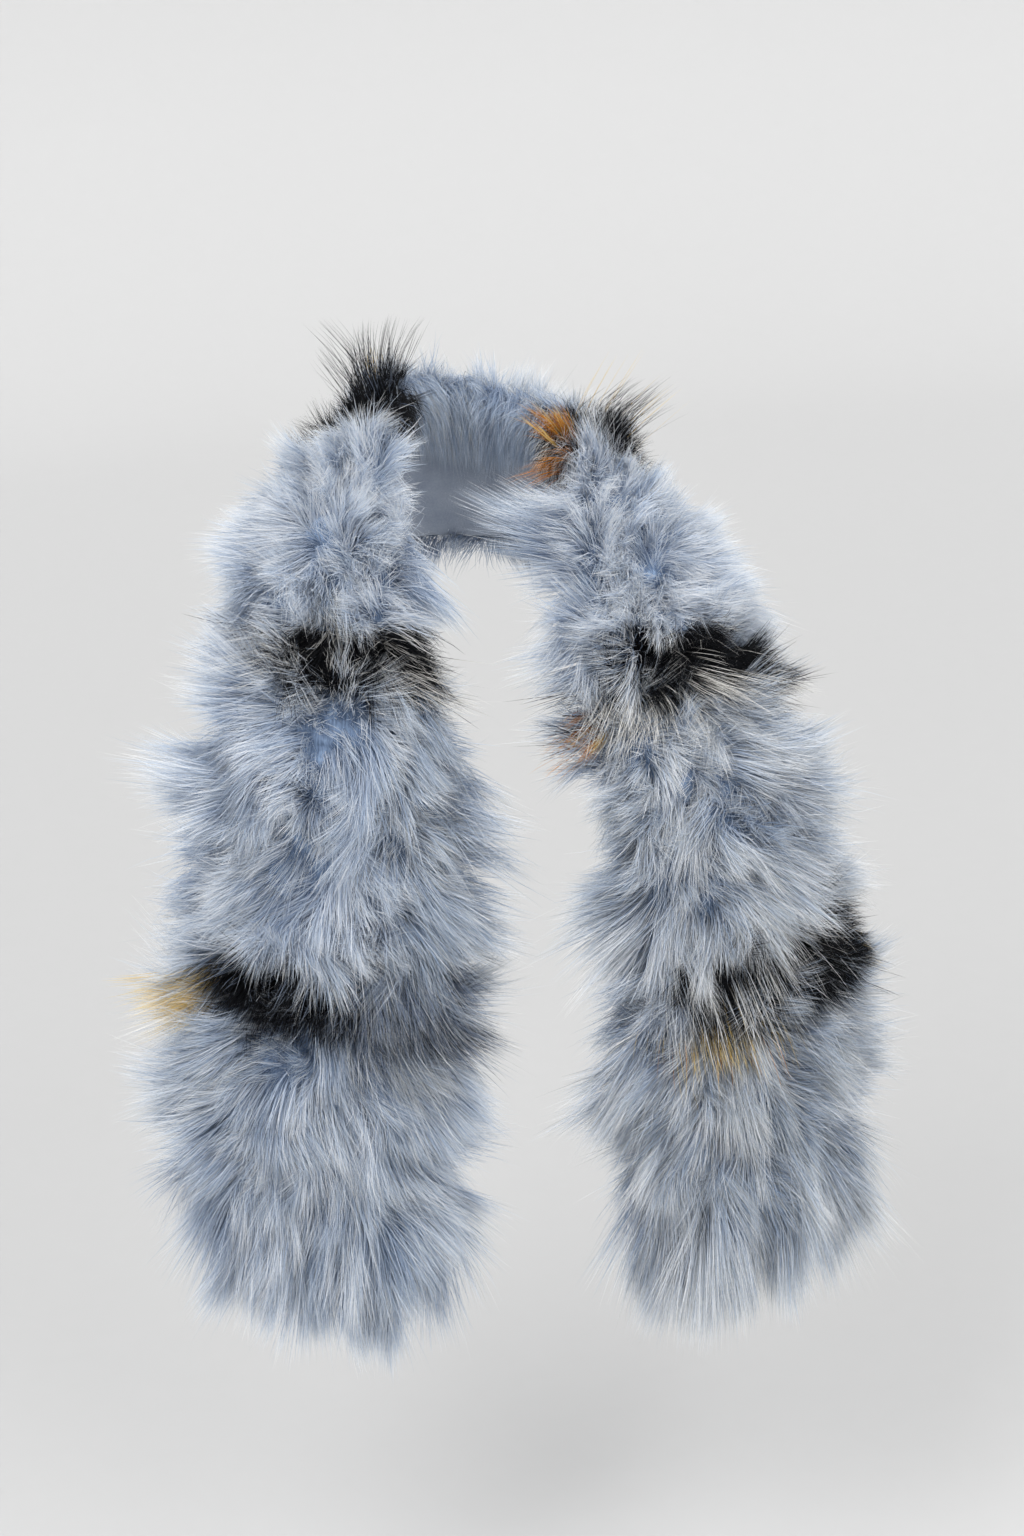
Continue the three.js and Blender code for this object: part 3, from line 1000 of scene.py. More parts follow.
@dataclass
class HairCoat:
    """The guard hair and wool of one piece of pelt, one thin ribbon for each few dozen hairs."""

    section: Section
    finish: bpy.types.Material
    arc_steps: int = 180
    typical_run: float = -0.4
    strands_per_metre: float = 182_000
    strip_density: float = 1.2
    fold_density: float = 90_000
    end_crowding: float = 1.25
    lay: float = 8 * MM
    panel_lean: float = 0.4
    full_lean_ahead: float = 25 * MM
    cover_reach: float = 45 * MM
    rise_reach: float = 35 * MM
    sag: float = 5 * MM
    sag_lengths: Pair = (0.5, 1.5)
    drift_size: float = 12 * MM
    swirl_size: float = 8.5 * MM
    outward_drift: float = 0.45
    parting_push: float = 16 * MM
    end_spread: float = 55 * MM
    dome_middle: float = 0.42
    dome_power: float = 0.31
    dome_limit: float = 0.97
    dome_narrowing: float = 0.5
    longest: float = 0.03
    raggedness: float = 0.09
    flying_share: float = 0.05
    flying_longer: Pair = (0.02, 0.16)
    flying_pull: float = 0.2
    fine_length: Pair = (1.06, 0.12)
    broad_length: Pair = (1.08, 0.15)
    fine_curl: float = 5.5 * MM
    broad_curl: float = 13 * MM
    bend_curl: float = 0.5
    fine_pull: tuple[float, float, float, float] = (0.5, 0.2, 0.1, 0.85)
    broad_pull: tuple[float, float, float, float] = (0.36, 0.15, 0.0, 0.7)
    outer_pull: float = 0.5
    outer_sides: Pair = (0.1, 0.9)
    wool_stray: float = 2.4 * MM
    guard_stray: float = 4.5 * MM
    bend_stray: float = 0.8
    edge_drop: Pair = (-2 * MM, 11 * MM)
    edge_sides: Pair = (0.86, 1.0)
    root_side: float = 0.98
    root_height: float = 1.2 * MM
    bend_height: float = 0.66
    bend_sideways: float = 0.45
    turn_jitter: float = 0.2
    widths: Pair = (0.75, 1.2)
    core_side: float = 0.7
    core_height: float = 0.25
    wisps_apart: float = 0.9
    hairs_apart: Pair = (0.35, 0.4)
    fan_share: float = 0.7
    wisp_lengths: Pair = (0.3, 0.25)
    wisp_bend: Pair = (0.8, 0.15)
    wisp_jitter: float = 0.4
    wisp_widths: Pair = (0.7, 1.1)
    wisp_stray: float = 1.6 * MM
    wisp_sag: float = 2 * MM
    fold_from: float = 75 * MM
    fold_to: float = 130 * MM
    fold_reach: float = 34 * MM
    fold_fall: float = 36 * MM
    fold_inwards: Pair = (2 * MM, 22 * MM)
    fold_sway: float = 11 * MM
    fold_band: float = 10 * MM
    fold_sides: Pair = (0.88, 0.99)
    fold_roots: Pair = (1 * MM, 12 * MM)
    fold_falls: Pair = (-0.7, 1)
    fold_lock: float = 0.16
    fold_strays: Pair = (2.5 * MM, 6 * MM)
    fold_bend: Pair = (0.5, 0.3)
    fold_tips: Pair = (4 * MM, 3 * MM)
    fold_facing: Pair = (0.4, 0.35)
    fold_widths: Pair = (0.8, 1.2)
    lock_tint: float = 0.12
    tint_drift: float = 0.13
    bound_drift: float = 0.06
    bound_pace: float = 2.5
    top_chance: float = 0.9999
    map_spread: float = 0.25
    map_span: Pair = (0.02, 0.96)
    box_margin: float = 0.029
    box_room: float = 9.2 * MM
    seed: int = 20
    fine: Locks = field(default_factory=lambda: Locks(5 * MM, 3))
    broad: Locks = field(default_factory=lambda: Locks(23 * MM, 4))
    flow: tuple[Drift, ...] = field(
        default_factory=lambda: (
            *(Drift(seed, 40 * MM, 100 * MM) for seed in (5, 6, 7)),
            *(Drift(seed, 18 * MM, 36 * MM) for seed in (8, 9, 10)),
        )
    )

    def __post_init__(self) -> None:
        """Measures the way round a typical section, from the outer edge to the inner one."""
        self.angles = np.linspace(0, math.pi, self.arc_steps + 1)
        run = np.full(len(self.angles), self.typical_run)
        _, _, sideways, up = self.section.heights(run, self.angles)
        steps = np.hypot(np.diff(sideways[:, 0]), np.diff(up[:, 0]))
        self.arcs = np.concatenate([[0], np.cumsum(steps)])

    def angle_at(self, arc: Array) -> Array:
        """Angle of the section at a way round it in metres."""
        return np.interp(arc, self.arcs, self.angles)

    def tips(self, cut: PeltCut, run: Array, arc: Array, longer: Array) -> tuple[Array, ...]:
        """Where hairs end if nothing draws them together.

        Each ends on the section's surface, moved by the comb, by the drift and away from the
        hollows. Past a cut end the hairs fan out and the section closes like a dome.

        Args:
            cut: The piece of pelt.
            run: Runs of the roots.
            arc: Ways round the section of the roots.
            longer: Share by which the hair is longer, as a column.

        Returns:
            The tips, the pelt's places under them, the sides, and the ways up and sideways.
        """
        angle = self.angle_at(arc)
        ahead = np.zeros_like(run)
        turn = np.zeros_like(run)
        for seam in (cut.start, cut.end):
            if seam.tips is None:
                continue
            gap = seam.tips - seam.run
            near = 1 - np.clip(np.abs(run - seam.run) / self.end_spread, 0, 1)
            ahead += gap * near
            turn += np.clip((run + gap * near - seam.run) / gap, 0, self.dome_limit)
        pelt, side, sideways, up = self.section.heights(run + ahead, angle)
        dome = (1 - turn[:, None] ** 2) ** self.dome_power
        centre = self.dome_middle * pelt.depth
        height = centre + (up * longer - centre) * dome
        sideways = sideways * longer * (1 - self.dome_narrowing * (1 - dome))
        hollows = HOLLOWS if cut.dark else HOLLOWS + WHORLS
        push_along, push_across = self.partings(hollows, run + ahead, side, pelt.half)
        sizes = (self.drift_size,) * 3 + (self.swirl_size,) * 3
        flow = [drift.at(run, arc) * size for drift, size in zip(self.flow, sizes)]
        lean = (height + 2 * self.lay) * pelt.comb
        near = np.clip(np.abs(ahead)[:, None] / self.full_lean_ahead, 0, 1)
        lean *= blend(self.panel_lean, 1, near)
        lean *= self.kept_lean(cut, run, side[:, 0])[:, None]
        tips = (
            pelt.middle + pelt.across * (sideways + flow[0] + flow[3] + push_across)
            + pelt.out * (height + self.outward_drift * (flow[2] + flow[5]))
            + pelt.along * (lean + flow[1] + flow[4] + push_along)
        )
        tips[:, 2:] -= self.sag * np.clip(longer, *self.sag_lengths) ** 2
        return tips, pelt, side, height, sideways

    def kept_lean(self, cut: PeltCut, run: Array, side: Array) -> Array:
        """Share of its lean that the hair keeps: the strips' by side, and a panel's turns to the
        cover share near the strip below it, and to minus the rise share near the one above.

        Args:
            cut: The piece of pelt.
            run: Runs of the roots.
            side: Their sides.

        Returns:
            The shares.
        """
        if cut.dark:
            return self.across(STRIP_LOOKS[cut.name].lean, side)
        share = np.ones_like(run)
        for seam, way in ((cut.start, -1), (cut.end, 1)):
            if not seam.strip:
                continue
            look = STRIP_LOOKS[seam.strip]
            below = seam.run * way > 0
            aim = look.cover if below else tuple(-x for x in look.rise)
            edge = self.across(aim, side)
            away = np.abs(run - seam.at_side(side))
            reach = self.cover_reach if below else self.rise_reach
            share *= blend(edge, 1, smooth_step(away, 0, reach))
        return share

    def across(self, values: tuple[float, ...], side: Array) -> Array:
        """Values given at even steps from the inner to the outer edge, at any side."""
        return np.interp(side, np.linspace(-1, 1, len(values)), values)

    def partings(self, hollows: tuple[Hollow, ...], run: Array, side: Array,
                 half: Array) -> tuple[Array, Array]:
        """Hair leans away from the middle of each hollow, most at its flanks.

        Args:
            hollows: The partings, folds and whorls.
            run: Runs of the hairs.
            side: Their sides, as a column.
            half: Half widths of the pelt, as a column.

        Returns:
            The ways moved along and across, as columns.
        """
        along, across = np.zeros_like(side), np.zeros_like(side)
        for hollow in hollows:
            push = hollow.deep * MM if hollow in WHORLS else self.parting_push
            bell = self.section.bell(hollow, run[:, None], side, half) * push
            along += bell * (run[:, None] / MM - hollow.run) / hollow.long
            across += bell * (side - hollow.side) * half / MM / hollow.wide
        return along, across

    def grow(self, cut: PeltCut) -> Strands:
        """Spreads roots evenly over the fur's surface and works out each hair's curve.

        Roots follow the additive sequence of the plastic number. Tips are drawn to the tip of
        the nearest fine lock, and fine locks to that of their nearest broad lock.

        Args:
            cut: The piece of pelt.

        Returns:
            The strands.
        """
        rng = np.random.default_rng([self.seed, *cut.name.encode()])
        crowd = self.strip_density if cut.dark else 1.0
        ends = sum(seam.tips is not None for seam in (cut.start, cut.end))
        count = int((cut.length + ends * 0.5 * self.end_spread) * self.strands_per_metre * crowd)
        share, way = self.even_places(count, ends, cut)
        arc = way * self.arcs[-1]
        run = cut.run_at(share, np.cos(self.angle_at(arc)))

        kind = rng.choice(len(RIBBONS), count, p=[ribbon.often for ribbon in RIBBONS])
        own = np.array([ribbon.longer for ribbon in RIBBONS])[kind][:, None]
        own = own + self.longest - self.raggedness * np.abs(rng.standard_normal((count, 1)))
        flying = rng.random((count, 1)) < self.flying_share
        own += flying * rng.uniform(*self.flying_longer, (count, 1))
        tip, pelt, side, height, sideways = self.tips(cut, run, arc, own)

        fine_run, fine_arc, fine = self.fine.nearest(run, arc)
        broad_run, broad_arc, broad = self.broad.nearest(fine_run, fine_arc)
        fine_tip = self.lock_tips(cut, fine_run, fine_arc, fine, self.fine_length)
        broad_tip = self.lock_tips(cut, broad_run, broad_arc, broad, self.broad_length)
        curl = self.fine_curl * fine[:, 1:4] + self.broad_curl * broad[:, 1:4]
        fine_tip += curl
        fine_tip = blend(fine_tip, broad_tip, self.pull(self.broad_pull, broad[:, 1:2]))
        pull = self.pull(self.fine_pull, fine[:, 2:3]) * np.where(flying, self.flying_pull, 1)
        pull *= 1 - self.outer_pull * smooth_step(side, *self.outer_sides)
        loose = np.where(kind == GUARD, self.guard_stray, self.wool_stray)[:, None]
        tip = blend(tip, fine_tip, pull) + loose * rng.standard_normal((count, 3))

        edge = smooth_step(np.abs(side), *self.edge_sides)
        tip -= pelt.out * edge * rng.uniform(*self.edge_drop, (count, 1))

        base = self.section.drape.at(run)
        root = self.roots(base, side)
        bend = root + base.out * height * self.bend_height
        bend += base.across * (sideways - side * base.half) * self.bend_sideways
        centre = base.middle + base.across * side * base.half * self.core_side
        centre += base.out * self.core_height * base.depth
        bend += self.bend_stray * loose * rng.standard_normal((count, 3)) - self.bend_curl * curl
        tip = self.trimmed(root, tip)
        facing = unit(tip - centre) + self.turn_jitter * rng.standard_normal((count, 3))
        width = np.array([ribbon.width for ribbon in RIBBONS])[kind]
        width = width * rng.uniform(*self.widths, count)
        luck = rng.random(count) + self.lock_tint * fine[:, 0]
        tone = self.tones(cut, side[:, 0], run, arc, luck)
        coat = Strands(root, bend, tip, facing, width, tone, kind)
        tufts = STRIP_LOOKS[cut.name].tufts if cut.dark else ()
        return coat.joined([self.fold(cut, rng), *(self.wisps(tuft, rng) for tuft in tufts)])

    def lock_tips(self, cut: PeltCut, run: Array, arc: Array, chance: Array,
                  length: Pair) -> Array:
        """Tips of the hairs' locks, at the first length less the second x a chance."""
        return self.tips(cut, run, arc, length[0] - length[1] * np.abs(chance[:, :1]))[0]

    def pull(self, rule: tuple[float, float, float, float], chance: Array) -> Array:
        """Share by which hair is drawn to its lock: mean + spread x chance, within two bounds."""
        return np.clip(rule[0] + rule[1] * chance, rule[2], rule[3])

    def roots(self, pelt: PeltPlaces, side: Array) -> Array:
        """Where hairs leave the leather."""
        sideways = pelt.across * side * pelt.half * self.root_side
        return pelt.middle + sideways + pelt.out * self.root_height

    def wisps(self, tuft: Tuft, rng: Any) -> Strands:
        """Long hairs that start together and run out to the tip of their wisp.

        Args:
            tuft: Their place, way and length.
            rng: The piece's random numbers.

        Returns:
            The strands.
        """
        count = tuft.wisps * tuft.hairs
        wisp = np.repeat(np.arange(tuft.wisps), tuft.hairs)
        own = rng.standard_normal((3, count))
        shared = rng.standard_normal((6, tuft.wisps))[:, wisp]
        apart = [self.wisps_apart * shared[k] + self.hairs_apart[k] * own[k] for k in (0, 1)]
        run = (tuft.run + tuft.run_spread * apart[0]) * MM
        side = np.clip(tuft.side + tuft.side_spread * apart[1], -1, 1)
        angle = np.arccos(signed_power(side, 1 / self.section.side_power))
        pelt, side, sideways, up = self.section.heights(run, angle)
        surface = pelt.middle + pelt.across * sideways + up * (pelt.out + pelt.along * pelt.comb)
        fan = math.tan(math.radians(tuft.fan))
        way = unit(unit(np.array([tuft.toward])) + fan * self.fan_share * shared[2:5].T)
        spread, shorter = self.wisp_lengths
        length = 1 + spread * shared[5] - shorter * rng.random(count)
        length = tuft.length * MM * length[:, None]
        root = self.roots(pelt, side)
        tip = surface + way * length + self.wisp_stray * own.T
        bend = blend(root, surface, self.wisp_bend[0]) + way * self.wisp_bend[1] * length
        tip[:, 2:] -= self.wisp_sag
        jitter = self.wisp_jitter * rng.standard_normal((count, 3))
        facing = unit(surface - pelt.middle) + jitter
        width = RIBBONS[LONG].width * rng.uniform(*self.wisp_widths, count)
        weights = np.array([weight for _, weight in tuft.tones])
        columns = np.array([tone.column for tone, _ in tuft.tones])
        tone = rng.choice(columns, tuft.wisps, p=weights / weights.sum())[wisp]
        tip = self.trimmed(root, tip)
        return Strands(root, bend, tip, facing, width, tone, np.full(count, LONG))

    def fold(self, cut: PeltCut, rng: Any) -> Strands:
        """Hair of the upper edge round the neck, which rolls in over the skin side.

        Args:
            cut: The piece of pelt.
            rng: The piece's random numbers.

        Returns:
            The strands: none where the piece is far from the neck.
        """
        run = rng.uniform(cut.start.run, cut.end.run, int(cut.length * self.fold_density))
        run = run[rng.random(len(run)) > smooth_step(np.abs(run), self.fold_from, self.fold_to)]
        count = len(run)
        arc = self.arcs[-1] - rng.uniform(0, self.fold_band, count)
        lock = self.fine.nearest(run, arc)[2]
        own = rng.standard_normal((4, count, 1))
        base = self.section.drape.at(run)
        edge = base.middle - base.across * base.half * rng.uniform(*self.fold_sides, (count, 1))
        root = edge + base.out * rng.uniform(*self.fold_roots, (count, 1))
        fall = rng.uniform(*self.fold_falls, (count, 1)) + self.fold_lock * lock[:, :1]
        inwards = rng.uniform(*self.fold_inwards, (count, 1))
        sway = self.fold_sway * lock[:, 1:2] + self.fold_strays[0] * own[0]
        bend = root - base.across * (self.fold_reach + self.fold_strays[1] * own[1])
        bend += base.along * self.fold_bend[1] * sway - base.out * self.fold_bend[0] * inwards
        tip = edge + base.across * (fall * self.fold_fall) + base.along * sway
        tip -= base.out * (inwards + self.fold_tips[0] + self.fold_tips[1] * lock[:, 2:3])
        facing = -base.out - self.fold_facing[0] * base.across
        facing += self.fold_facing[1] * rng.standard_normal((count, 3))
        width = RIBBONS[GUARD].width * rng.uniform(*self.fold_widths, count)
        luck = rng.random(count) + self.lock_tint * lock[:, 3]
        # Painted shade: the rolled-in hair of the blue panels takes the dark fold mix
        mixes = () if cut.dark else FOLD_PAINTED_SHADE_MIXES
        tone = self.tones(cut, np.full(count, -1.0), run, arc, luck, mixes)
        return Strands(root, bend, tip, facing, width, tone, np.full(count, GUARD))

    def trimmed(self, root: Array, tip: Array) -> Array:
        """Shortens hairs that would end further out than the solids reach plus a small margin.

        Args:
            root: Roots of the hairs.
            tip: Their tips.

        Returns:
            The tips, drawn back along their hairs where needed.
        """
        low, high = (np.array(corner) for corner in CAD_BOX)
        margin = self.box_margin * (high - low) + self.box_room
        way = tip - root
        room = np.where(way > 0, high + margin - root, root - low + margin)
        share = (room / np.maximum(np.abs(way), TINY)).min(1, keepdims=True)
        return root + way * np.clip(share, 0, 1)

    def even_places(self, count: int, ends: int, cut: PeltCut) -> tuple[Array, Array]:
        """Points of the unit square that lie evenly, crowded towards a cut end.

        Args:
            count: How many.
            ends: 1 where the piece has a cut end.
            cut: The piece of pelt.

        Returns:
            Shares of the way along the piece and round the section.
        """
        i = np.arange(count) + 0.5
        share, way = (i / PLASTIC_NUMBER) % 1, (i / PLASTIC_NUMBER**2) % 1
        if ends:
            nearness = share**self.end_crowding
            share = 1 - nearness if cut.end.tips is not None else nearness
        return share, way

    def tones(self, cut: PeltCut, side: Array, run: Array, arc: Array, luck: Array,
              mixes: tuple[ToneMix, ...] = ()) -> Array:
        """Picks each hair's tone from the mix at its side, whose bounds waver a little.

        Args:
            cut: The piece of pelt.
            side: Sides of the hairs.
            run: Runs of the hairs.
            arc: Their ways round.
            luck: Random numbers, mostly from 0 to 1.
            mixes: The mixes, where they aren't the piece's own.

        Returns:
            Column numbers of the tones.
        """
        pace = self.bound_pace
        place = side + self.bound_drift * self.flow[0].at(run * pace, arc * pace)[:, 0]
        chance = luck + self.tint_drift * self.flow[1].at(run, arc)[:, 0]
        picked = np.full(len(side), -1)
        if not mixes and cut.dark:
            mixes = STRIP_LOOKS[cut.name].mixes
        # Painted shade comes in through these mixes: more slate hair at the inner edges, on the
        # end panels and in the neck fold
        for k, mix in enumerate(mixes or PANEL_MIXES_AND_PAINTED_SHADE.get(cut.name, BLUE_MIXES_WITH_PAINTED_SHADE)):
            inside = (place >= mix.low) | (k == 0)
            weights = np.cumsum([weight for _, weight in mix.tones])
            which = np.searchsorted(weights, np.clip(chance, 0, self.top_chance) * weights[-1])
            columns = np.array([tone.column for tone, _ in mix.tones])
            picked = np.where(inside, columns[np.clip(which, 0, len(columns) - 1)], picked)
        return picked

    def ribbons(self, hairs: Strands, ribbon: Ribbon) -> tuple[Array, Array, Array, Array]:
        """Turns strands into flat ribbons that narrow to a point.

        A hair is the curve (1 - t)^2 root + 2t(1 - t) bend + t^2 tip. Its ribbon lies across the
        curve and square to the way it faces.

        Args:
            hairs: The strands, all of one kind.
            ribbon: How they are drawn.

        Returns:
            Points, the faces' corners, where each face starts, and the corners' places on the
            colour map.
        """
        place, offset = np.array(ribbon.points).T
        t = place[None, :, None]
        root, bend, tip = (x[:, None, :] for x in (hairs.root, hairs.bend, hairs.tip))
        line = (1 - t) ** 2 * root + 2 * t * (1 - t) * bend + t**2 * tip
        forward = unit(hairs.tip - hairs.bend)
        facing = unit(hairs.facing - forward * dot(hairs.facing, forward))
        beside = np.cross(forward, facing)[:, None, :]
        points = line + beside * (hairs.width[:, None] * offset / 2)[:, :, None]
        pattern = np.concatenate(ribbon.faces)
        firsts = np.cumsum([0, *(len(face) for face in ribbon.faces[:-1])])
        each = np.arange(len(hairs.root))[:, None]
        places = np.empty((len(each), len(pattern), 2))
        column = 0.5 + self.map_spread * np.sign(offset[pattern])
        places[:, :, 0] = (hairs.tone[:, None] + column) / len(Tone)
        places[:, :, 1] = self.map_span[0] + self.map_span[1] * place[pattern]
        corners = each * len(place) + pattern
        starts = each * len(pattern) + firsts
        return points.reshape(-1, 3), corners.ravel(), starts.ravel(), places.reshape(-1, 2)

    def build(self, cut: PeltCut) -> bpy.types.Object:
        """Makes the hair of one piece, all its ribbons joined in one mesh.

        Args:
            cut: The piece of pelt.

        Returns:
            The piece.
        """
        hairs = self.grow(cut)
        parts = [self.ribbons(hairs.only(i), ribbon) for i, ribbon in enumerate(RIBBONS)]
        point_count = corner_count = 0
        moved = []
        for points, corners, starts, places in parts:
            moved.append((points, corners + point_count, starts + corner_count, places))
            point_count, corner_count = point_count + len(points), corner_count + len(corners)
        points, corners, starts, places = (np.concatenate(x) for x in zip(*moved))
        return new_piece(f"{cut.name}_hair", points, corners, starts, self.finish,
                         {"OFBake": places})


@dataclass
class Undercoat:
    """The dense wool under the hair: a closed, lumpy shell about half as high as the fur."""

    section: Section
    finish: bpy.types.Material
    height_share: float = 0.5
    width_share: float = 0.82
    spacing: float = 7 * MM
    lump: float = 2 * MM
    reach_share: float = 0.5
    comb_share: float = 0.8
    lift: float = 1.6 * MM
    end_gap: float = 0.004
    way_per_angle: float = 90 * MM
    columns: int = 44
    drift: Drift = field(default_factory=lambda: Drift(11, 16 * MM, 40 * MM))

    def build(self, cut: PeltCut) -> bpy.types.Object:
        """Carries a section along the piece: the front is the fur's own outline made smaller,
        and the back lies on the pelt. The end rings close on a point.

        Args:
            cut: The piece of pelt.

        Returns:
            The piece.
        """
        rows = max(4, round(cut.length / self.spacing))
        angle = np.tile(np.arange(self.columns) / self.columns * 2 * math.pi, rows + 1)
        share = np.repeat(np.linspace(self.end_gap, 1 - self.end_gap, rows + 1), self.columns)
        front = angle <= math.pi
        run = cut.run_at(share, np.cos(angle))
        pelt, _, _, up = self.section.heights(run, np.minimum(angle, math.pi))
        side = self.section.side_of(angle[:, None])
        sideways = side * (pelt.half + self.reach_share * pelt.reach) * self.width_share
        way_round = angle * self.way_per_angle
        lumps = self.lump * self.drift.at(run, way_round)
        height = np.where(front[:, None], up * self.height_share + lumps, 0) + self.lift
        leaning = height * pelt.comb * self.comb_share
        points = pelt.middle + pelt.across * sideways + pelt.out * height + pelt.along * leaning
        rings = points.reshape(rows + 1, self.columns, 3)
        ends = rings[[0, -1]].mean(axis=1)
        points = np.concatenate([points, ends])
        first = len(points) - 2
        quads = ring_faces(rows + 1, self.columns)
        here = np.arange(self.columns)
        after = (here + 1) % self.columns
        low = np.stack([np.full_like(here, first), after, here], -1)
        shift = rows * self.columns
        high = np.stack([np.full_like(here, first + 1), here + shift, after + shift], -1)
        corners = np.concatenate([quads.ravel(), low.ravel(), high.ravel()])
        starts = np.concatenate([np.arange(len(quads)) * 4,
                                 len(quads) * 4 + np.arange(2 * self.columns) * 3])
        way = np.stack([np.append(run, [cut.start.run, cut.end.run]),
                        np.append(way_round, [0, 0])], -1)
        return new_piece(f"{cut.name}_undercoat", points, corners, starts, self.finish,
                         {"lay": way[corners]})


@dataclass
class PeltSheet:
    """The leather of one piece, cut 120 mm wide, with its skin side to the wearer."""

    section: Section
    finish: bpy.types.Material
    thickness: float = 1.1 * MM
    spacing: float = 5 * MM
    columns: int = 24
    wrinkle: float = 0.5 * MM
    wrinkle_width: float = 70 * MM
    unsewn: float = 1.0
    drift: Drift = field(default_factory=lambda: Drift(13, 18 * MM, 60 * MM))

    def build(self, cut: PeltCut) -> bpy.types.Object:
        """Lays a thin closed slab on the draped surface: one face grid towards the hair, one
        towards the wearer, joined round the edge.

        Args:
            cut: The piece of pelt.

        Returns:
            The piece.
        """
        rows = max(4, round(cut.length / self.spacing))
        side = np.linspace(-1, 1, self.columns + 1)
        share = np.linspace(0, 1, rows + 1)
        share, side = (x.ravel() for x in np.meshgrid(share, side, indexing="ij"))
        run = cut.run_at(share, side)
        pelt = self.section.drape.at(run)
        wave = self.wrinkle * self.drift.at(run, side * self.wrinkle_width)
        middle = pelt.middle + pelt.across * side[:, None] * pelt.half + pelt.out * wave
        front = middle + pelt.out * self.thickness
        points = np.concatenate([front, middle])
        width = self.columns + 1
        row, column = np.meshgrid(np.arange(rows), np.arange(self.columns), indexing="ij")
        here = (row * width + column).ravel()
        top = np.stack([here, here + width, here + width + 1, here + 1], -1)
        under = top[:, ::-1] + len(front)
        rim = np.concatenate([
            np.arange(width - 1),
            np.arange(rows) * width + width - 1,
            rows * width + np.arange(width - 1, 0, -1),
            np.arange(rows, 0, -1) * width,
        ])
        following = np.roll(rim, -1)
        wall = np.stack([rim, following, following + len(front), rim + len(front)], -1)
        faces = np.concatenate([top, under, wall])
        sewn = np.full(len(run), self.unsewn)
        for seam, away in ((cut.start, share), (cut.end, 1 - share)):
            if seam.tips is None:
                sewn = np.minimum(sewn, away * cut.length)
        across = side * PELT_CUT_WIDTH / 2
        way = np.tile(np.stack([across, sewn], -1), (2, 1))
        return new_piece(f"{cut.name}_pelt", points, faces.ravel(), np.arange(len(faces)) * 4,
                         self.finish, {"cut": way[faces.ravel()]})


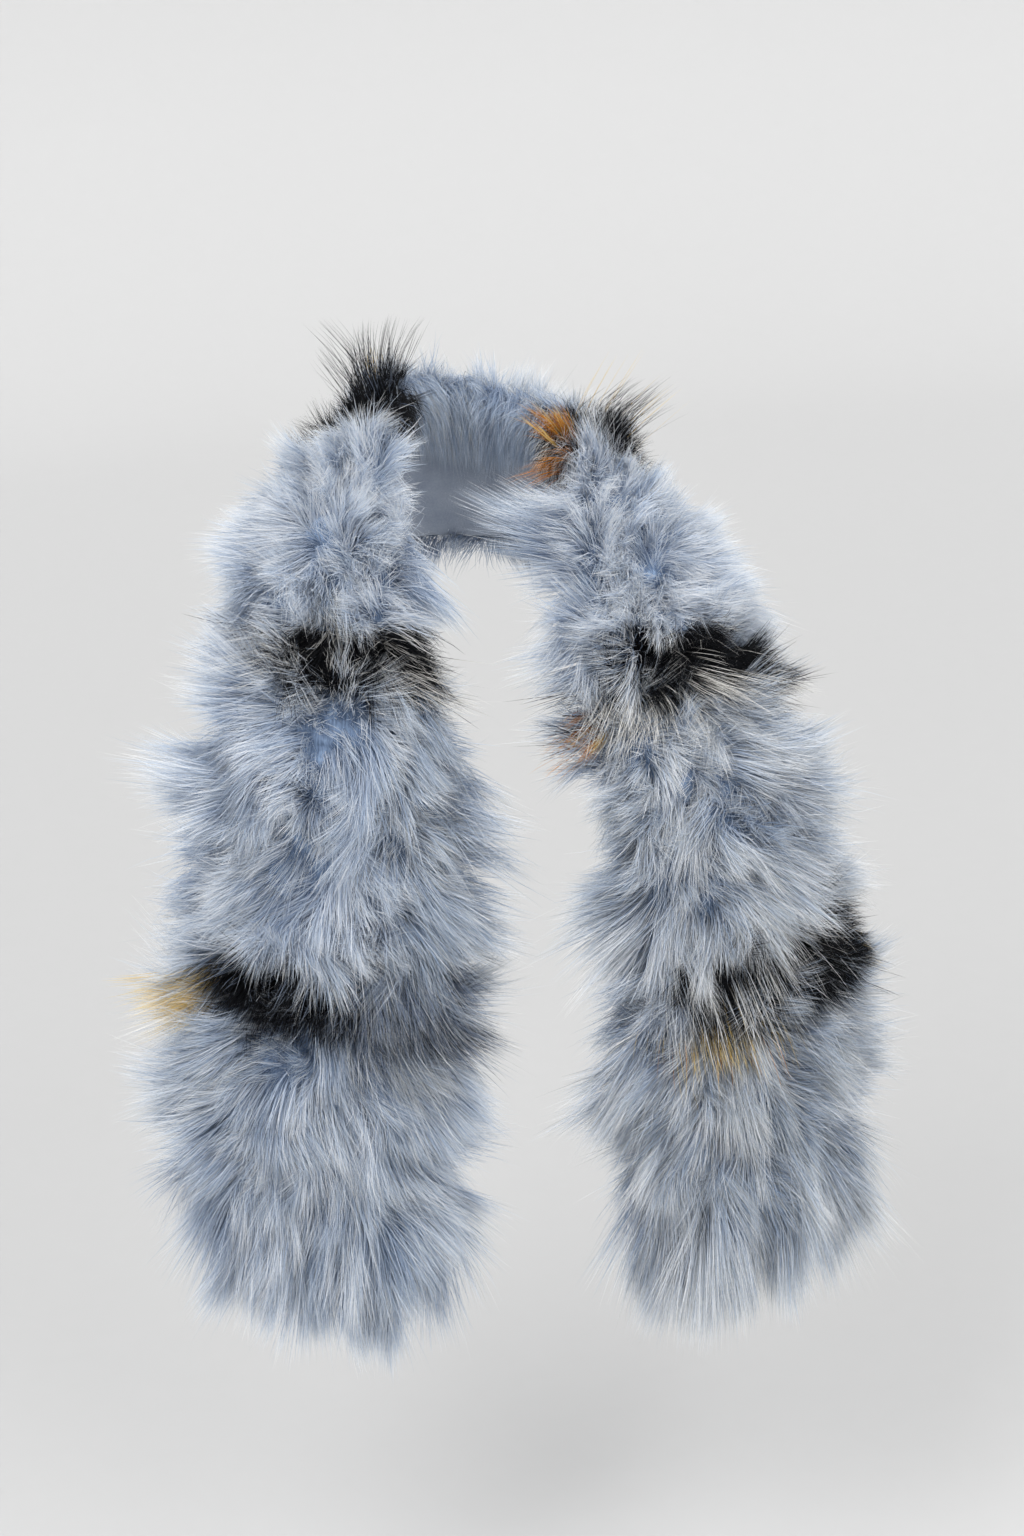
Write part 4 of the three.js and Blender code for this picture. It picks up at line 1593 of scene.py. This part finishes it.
# Studio
@dataclass
class Studio:
    """A round pale cove, soft lamps and the camera."""

    floor_height: float = -0.82
    floor_radius: float = 4.2
    wall_height: float = 3.2
    bend_radius: float = 1.6
    bend_steps: int = 16
    floor_steps: int = 11
    turn_steps: int = 96
    # The paper's tone runs from paler_from to paler_to: painted shade near the middle, painted
    # light far off
    paler_from: float = 1.2
    paler_to: float = 5.5
    paper_grain: float = 25 * MM
    light_aim: tuple[float, float, float] = (0, -0.15, -0.2)
    camera_place: tuple[float, float, float] = (0.0058, -1.784, 0.3907)
    camera_down: float = math.radians(19)
    camera_roll: float = math.radians(4.6)
    lens: float = 59.53
    sky: float = 1.45
    lamps: tuple = (("key", (-1.1, -1.7, 1.9), 1.4, 50.0), ("fill", (1.4, -1.8, 1.2), 1.8, 37.0))

    def build(self) -> None:
        """Makes the cove, the lamps and the camera."""
        self.cove()
        for name, place, size, power in self.lamps:
            self.lamp(name, place, size, power)
        self.camera()
        world = bpy.data.worlds.new("studio")
        world.use_nodes = True
        sky = world.node_tree.nodes["Background"].inputs
        sky["Strength"].default_value, sky["Color"].default_value = self.sky, linear("F4F4F4")
        bpy.context.scene.world = world
        bpy.context.scene.view_settings.view_transform = "Standard"

    def cove(self) -> None:
        """Turns a profile about the upright axis: a flat floor, a quarter circle, a wall."""
        bend = np.linspace(0, math.pi / 2, self.bend_steps + 1)
        radius = np.concatenate([np.linspace(0, self.floor_radius, self.floor_steps + 1)[:-1],
                                 self.floor_radius + self.bend_radius * np.sin(bend)])
        height = np.concatenate([np.zeros(self.floor_steps),
                                 self.bend_radius * (1 - np.cos(bend))])
        radius, height = np.append(radius, radius[-1]), np.append(height, self.wall_height)
        turn = np.linspace(0, 2 * math.pi, self.turn_steps + 1)[:-1]
        points = np.stack([
            np.outer(radius, np.cos(turn)),
            np.outer(radius, np.sin(turn)),
            np.outer(height + self.floor_height, np.ones_like(turn)),
        ], -1).reshape(-1, 3)
        quads = ring_faces(len(radius), self.turn_steps)
        cove = new_piece("cove", points, quads.ravel(), np.arange(len(quads)) * 4, self.paper())

    def paper(self) -> bpy.types.Material:
        """Rolled matt backdrop paper with painted light and shade: darker near the middle, paler
        far off.

        Returns:
            The material.
        """
        material, add = new_material("graduated_backdrop_paper")
        place = add("TexCoord").outputs["Object"]
        grain = add("TexNoise", {"Scale": 1 / self.paper_grain, "Detail": 4.0, "Vector": place})
        # Painted light and shade: darker near the middle of the floor, where the lamps fall
        # strongest, and paler towards the far wall, which gets less light
        away = add("VectorMath", {"operation": "LENGTH", 0: place}).outputs["Value"]
        paler = {"From Min": self.paler_from, "From Max": self.paler_to}
        fade = add("MapRange", {**paler, "Value": away})
        both = add("Mix", {"data_type": "FLOAT", 0: 0.04, 2: fade, 3: grain})
        shade = add("ValToRGB", {"stops": ((0.0, "B5B5B5"), (1.0, "D9D9D9")), "Fac": both})
        matt = {"Roughness": 0.95, "Specular IOR Level": 0.2}
        paper = add("BsdfPrincipled", {**matt, "Base Color": shade})
        add("OutputMaterial", {"Surface": paper})
        return material

    def lamp(self, name: str, place: tuple, size: float, power: float) -> None:
        """Adds a square soft lamp that faces the stole.

        Args:
            name: Name of the lamp.
            place: Where it stands, in metres.
            size: Length of its side in metres.
            power: Watts.
        """
        light = bpy.data.lights.new(name, "AREA")
        light.size, light.energy = size, power
        lamp = bpy.data.objects.new(name, light)
        lamp.location = place
        toward = Vector(self.light_aim) - Vector(place)
        lamp.rotation_euler = toward.to_track_quat("-Z", "Y").to_euler()
        bpy.context.scene.collection.objects.link(lamp)

    def camera(self) -> None:
        """Sets the camera: it looks down by camera_down and leans by camera_roll."""
        down, roll = self.camera_down, self.camera_roll
        level = Vector((1, 0, 0))
        rise = Vector((0, math.sin(down), math.cos(down)))
        right = level * math.cos(roll) - rise * math.sin(roll)
        up = level * math.sin(roll) + rise * math.cos(roll)
        turned = Matrix((right, up, right.cross(up))).transposed().to_4x4()
        lens = bpy.data.cameras.new("camera")
        lens.lens, lens.sensor_width = self.lens, 36.0
        camera = bpy.data.objects.new("camera", lens)
        camera.matrix_world = Matrix.Translation(Vector(self.camera_place)) @ turned
        bpy.context.scene.collection.objects.link(camera)
        bpy.context.scene.camera = camera


def main() -> None:
    """Builds the studio and then every piece, in the order in which the pelts are sewn."""
    logging.basicConfig(level=logging.INFO, format="%(name)s: %(message)s")
    Studio().build()
    drape = Drape(DRAPE_ROWS)
    section = Section(drape)
    coat = HairCoat(section, DyedFoxHair().material())
    blue_wool = WoollyUndercoat("blue_wool_undercoat", "4E5E76", "8EA3C0").material()
    dark_wool = WoollyUndercoat("black_wool_undercoat", "08090B", "1D2027").material()
    blue_skin = SuedeDressedPelt("blue_suede_dressed_pelt", "A3ABB8", "8A94A4", THREAD).material()
    dark_skin = SuedeDressedPelt("black_suede_dressed_pelt", "3A3C42", "26282D", THREAD).material()
    for cut in cut_pieces(drape):
        pelt = PeltSheet(section, dark_skin if cut.dark else blue_skin).build(cut)
        wool = Undercoat(section, dark_wool if cut.dark else blue_wool).build(cut)
        hair = coat.build(cut)
        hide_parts(cut.name)
        for piece in (pelt, wool, hair):
            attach(piece, "root")
        LOG.info("%s: cut %.0f mm long, %d faces of hair", cut.name, cut.length / MM,
                 len(hair.data.polygons))


if __name__ == "__main__":
    main()
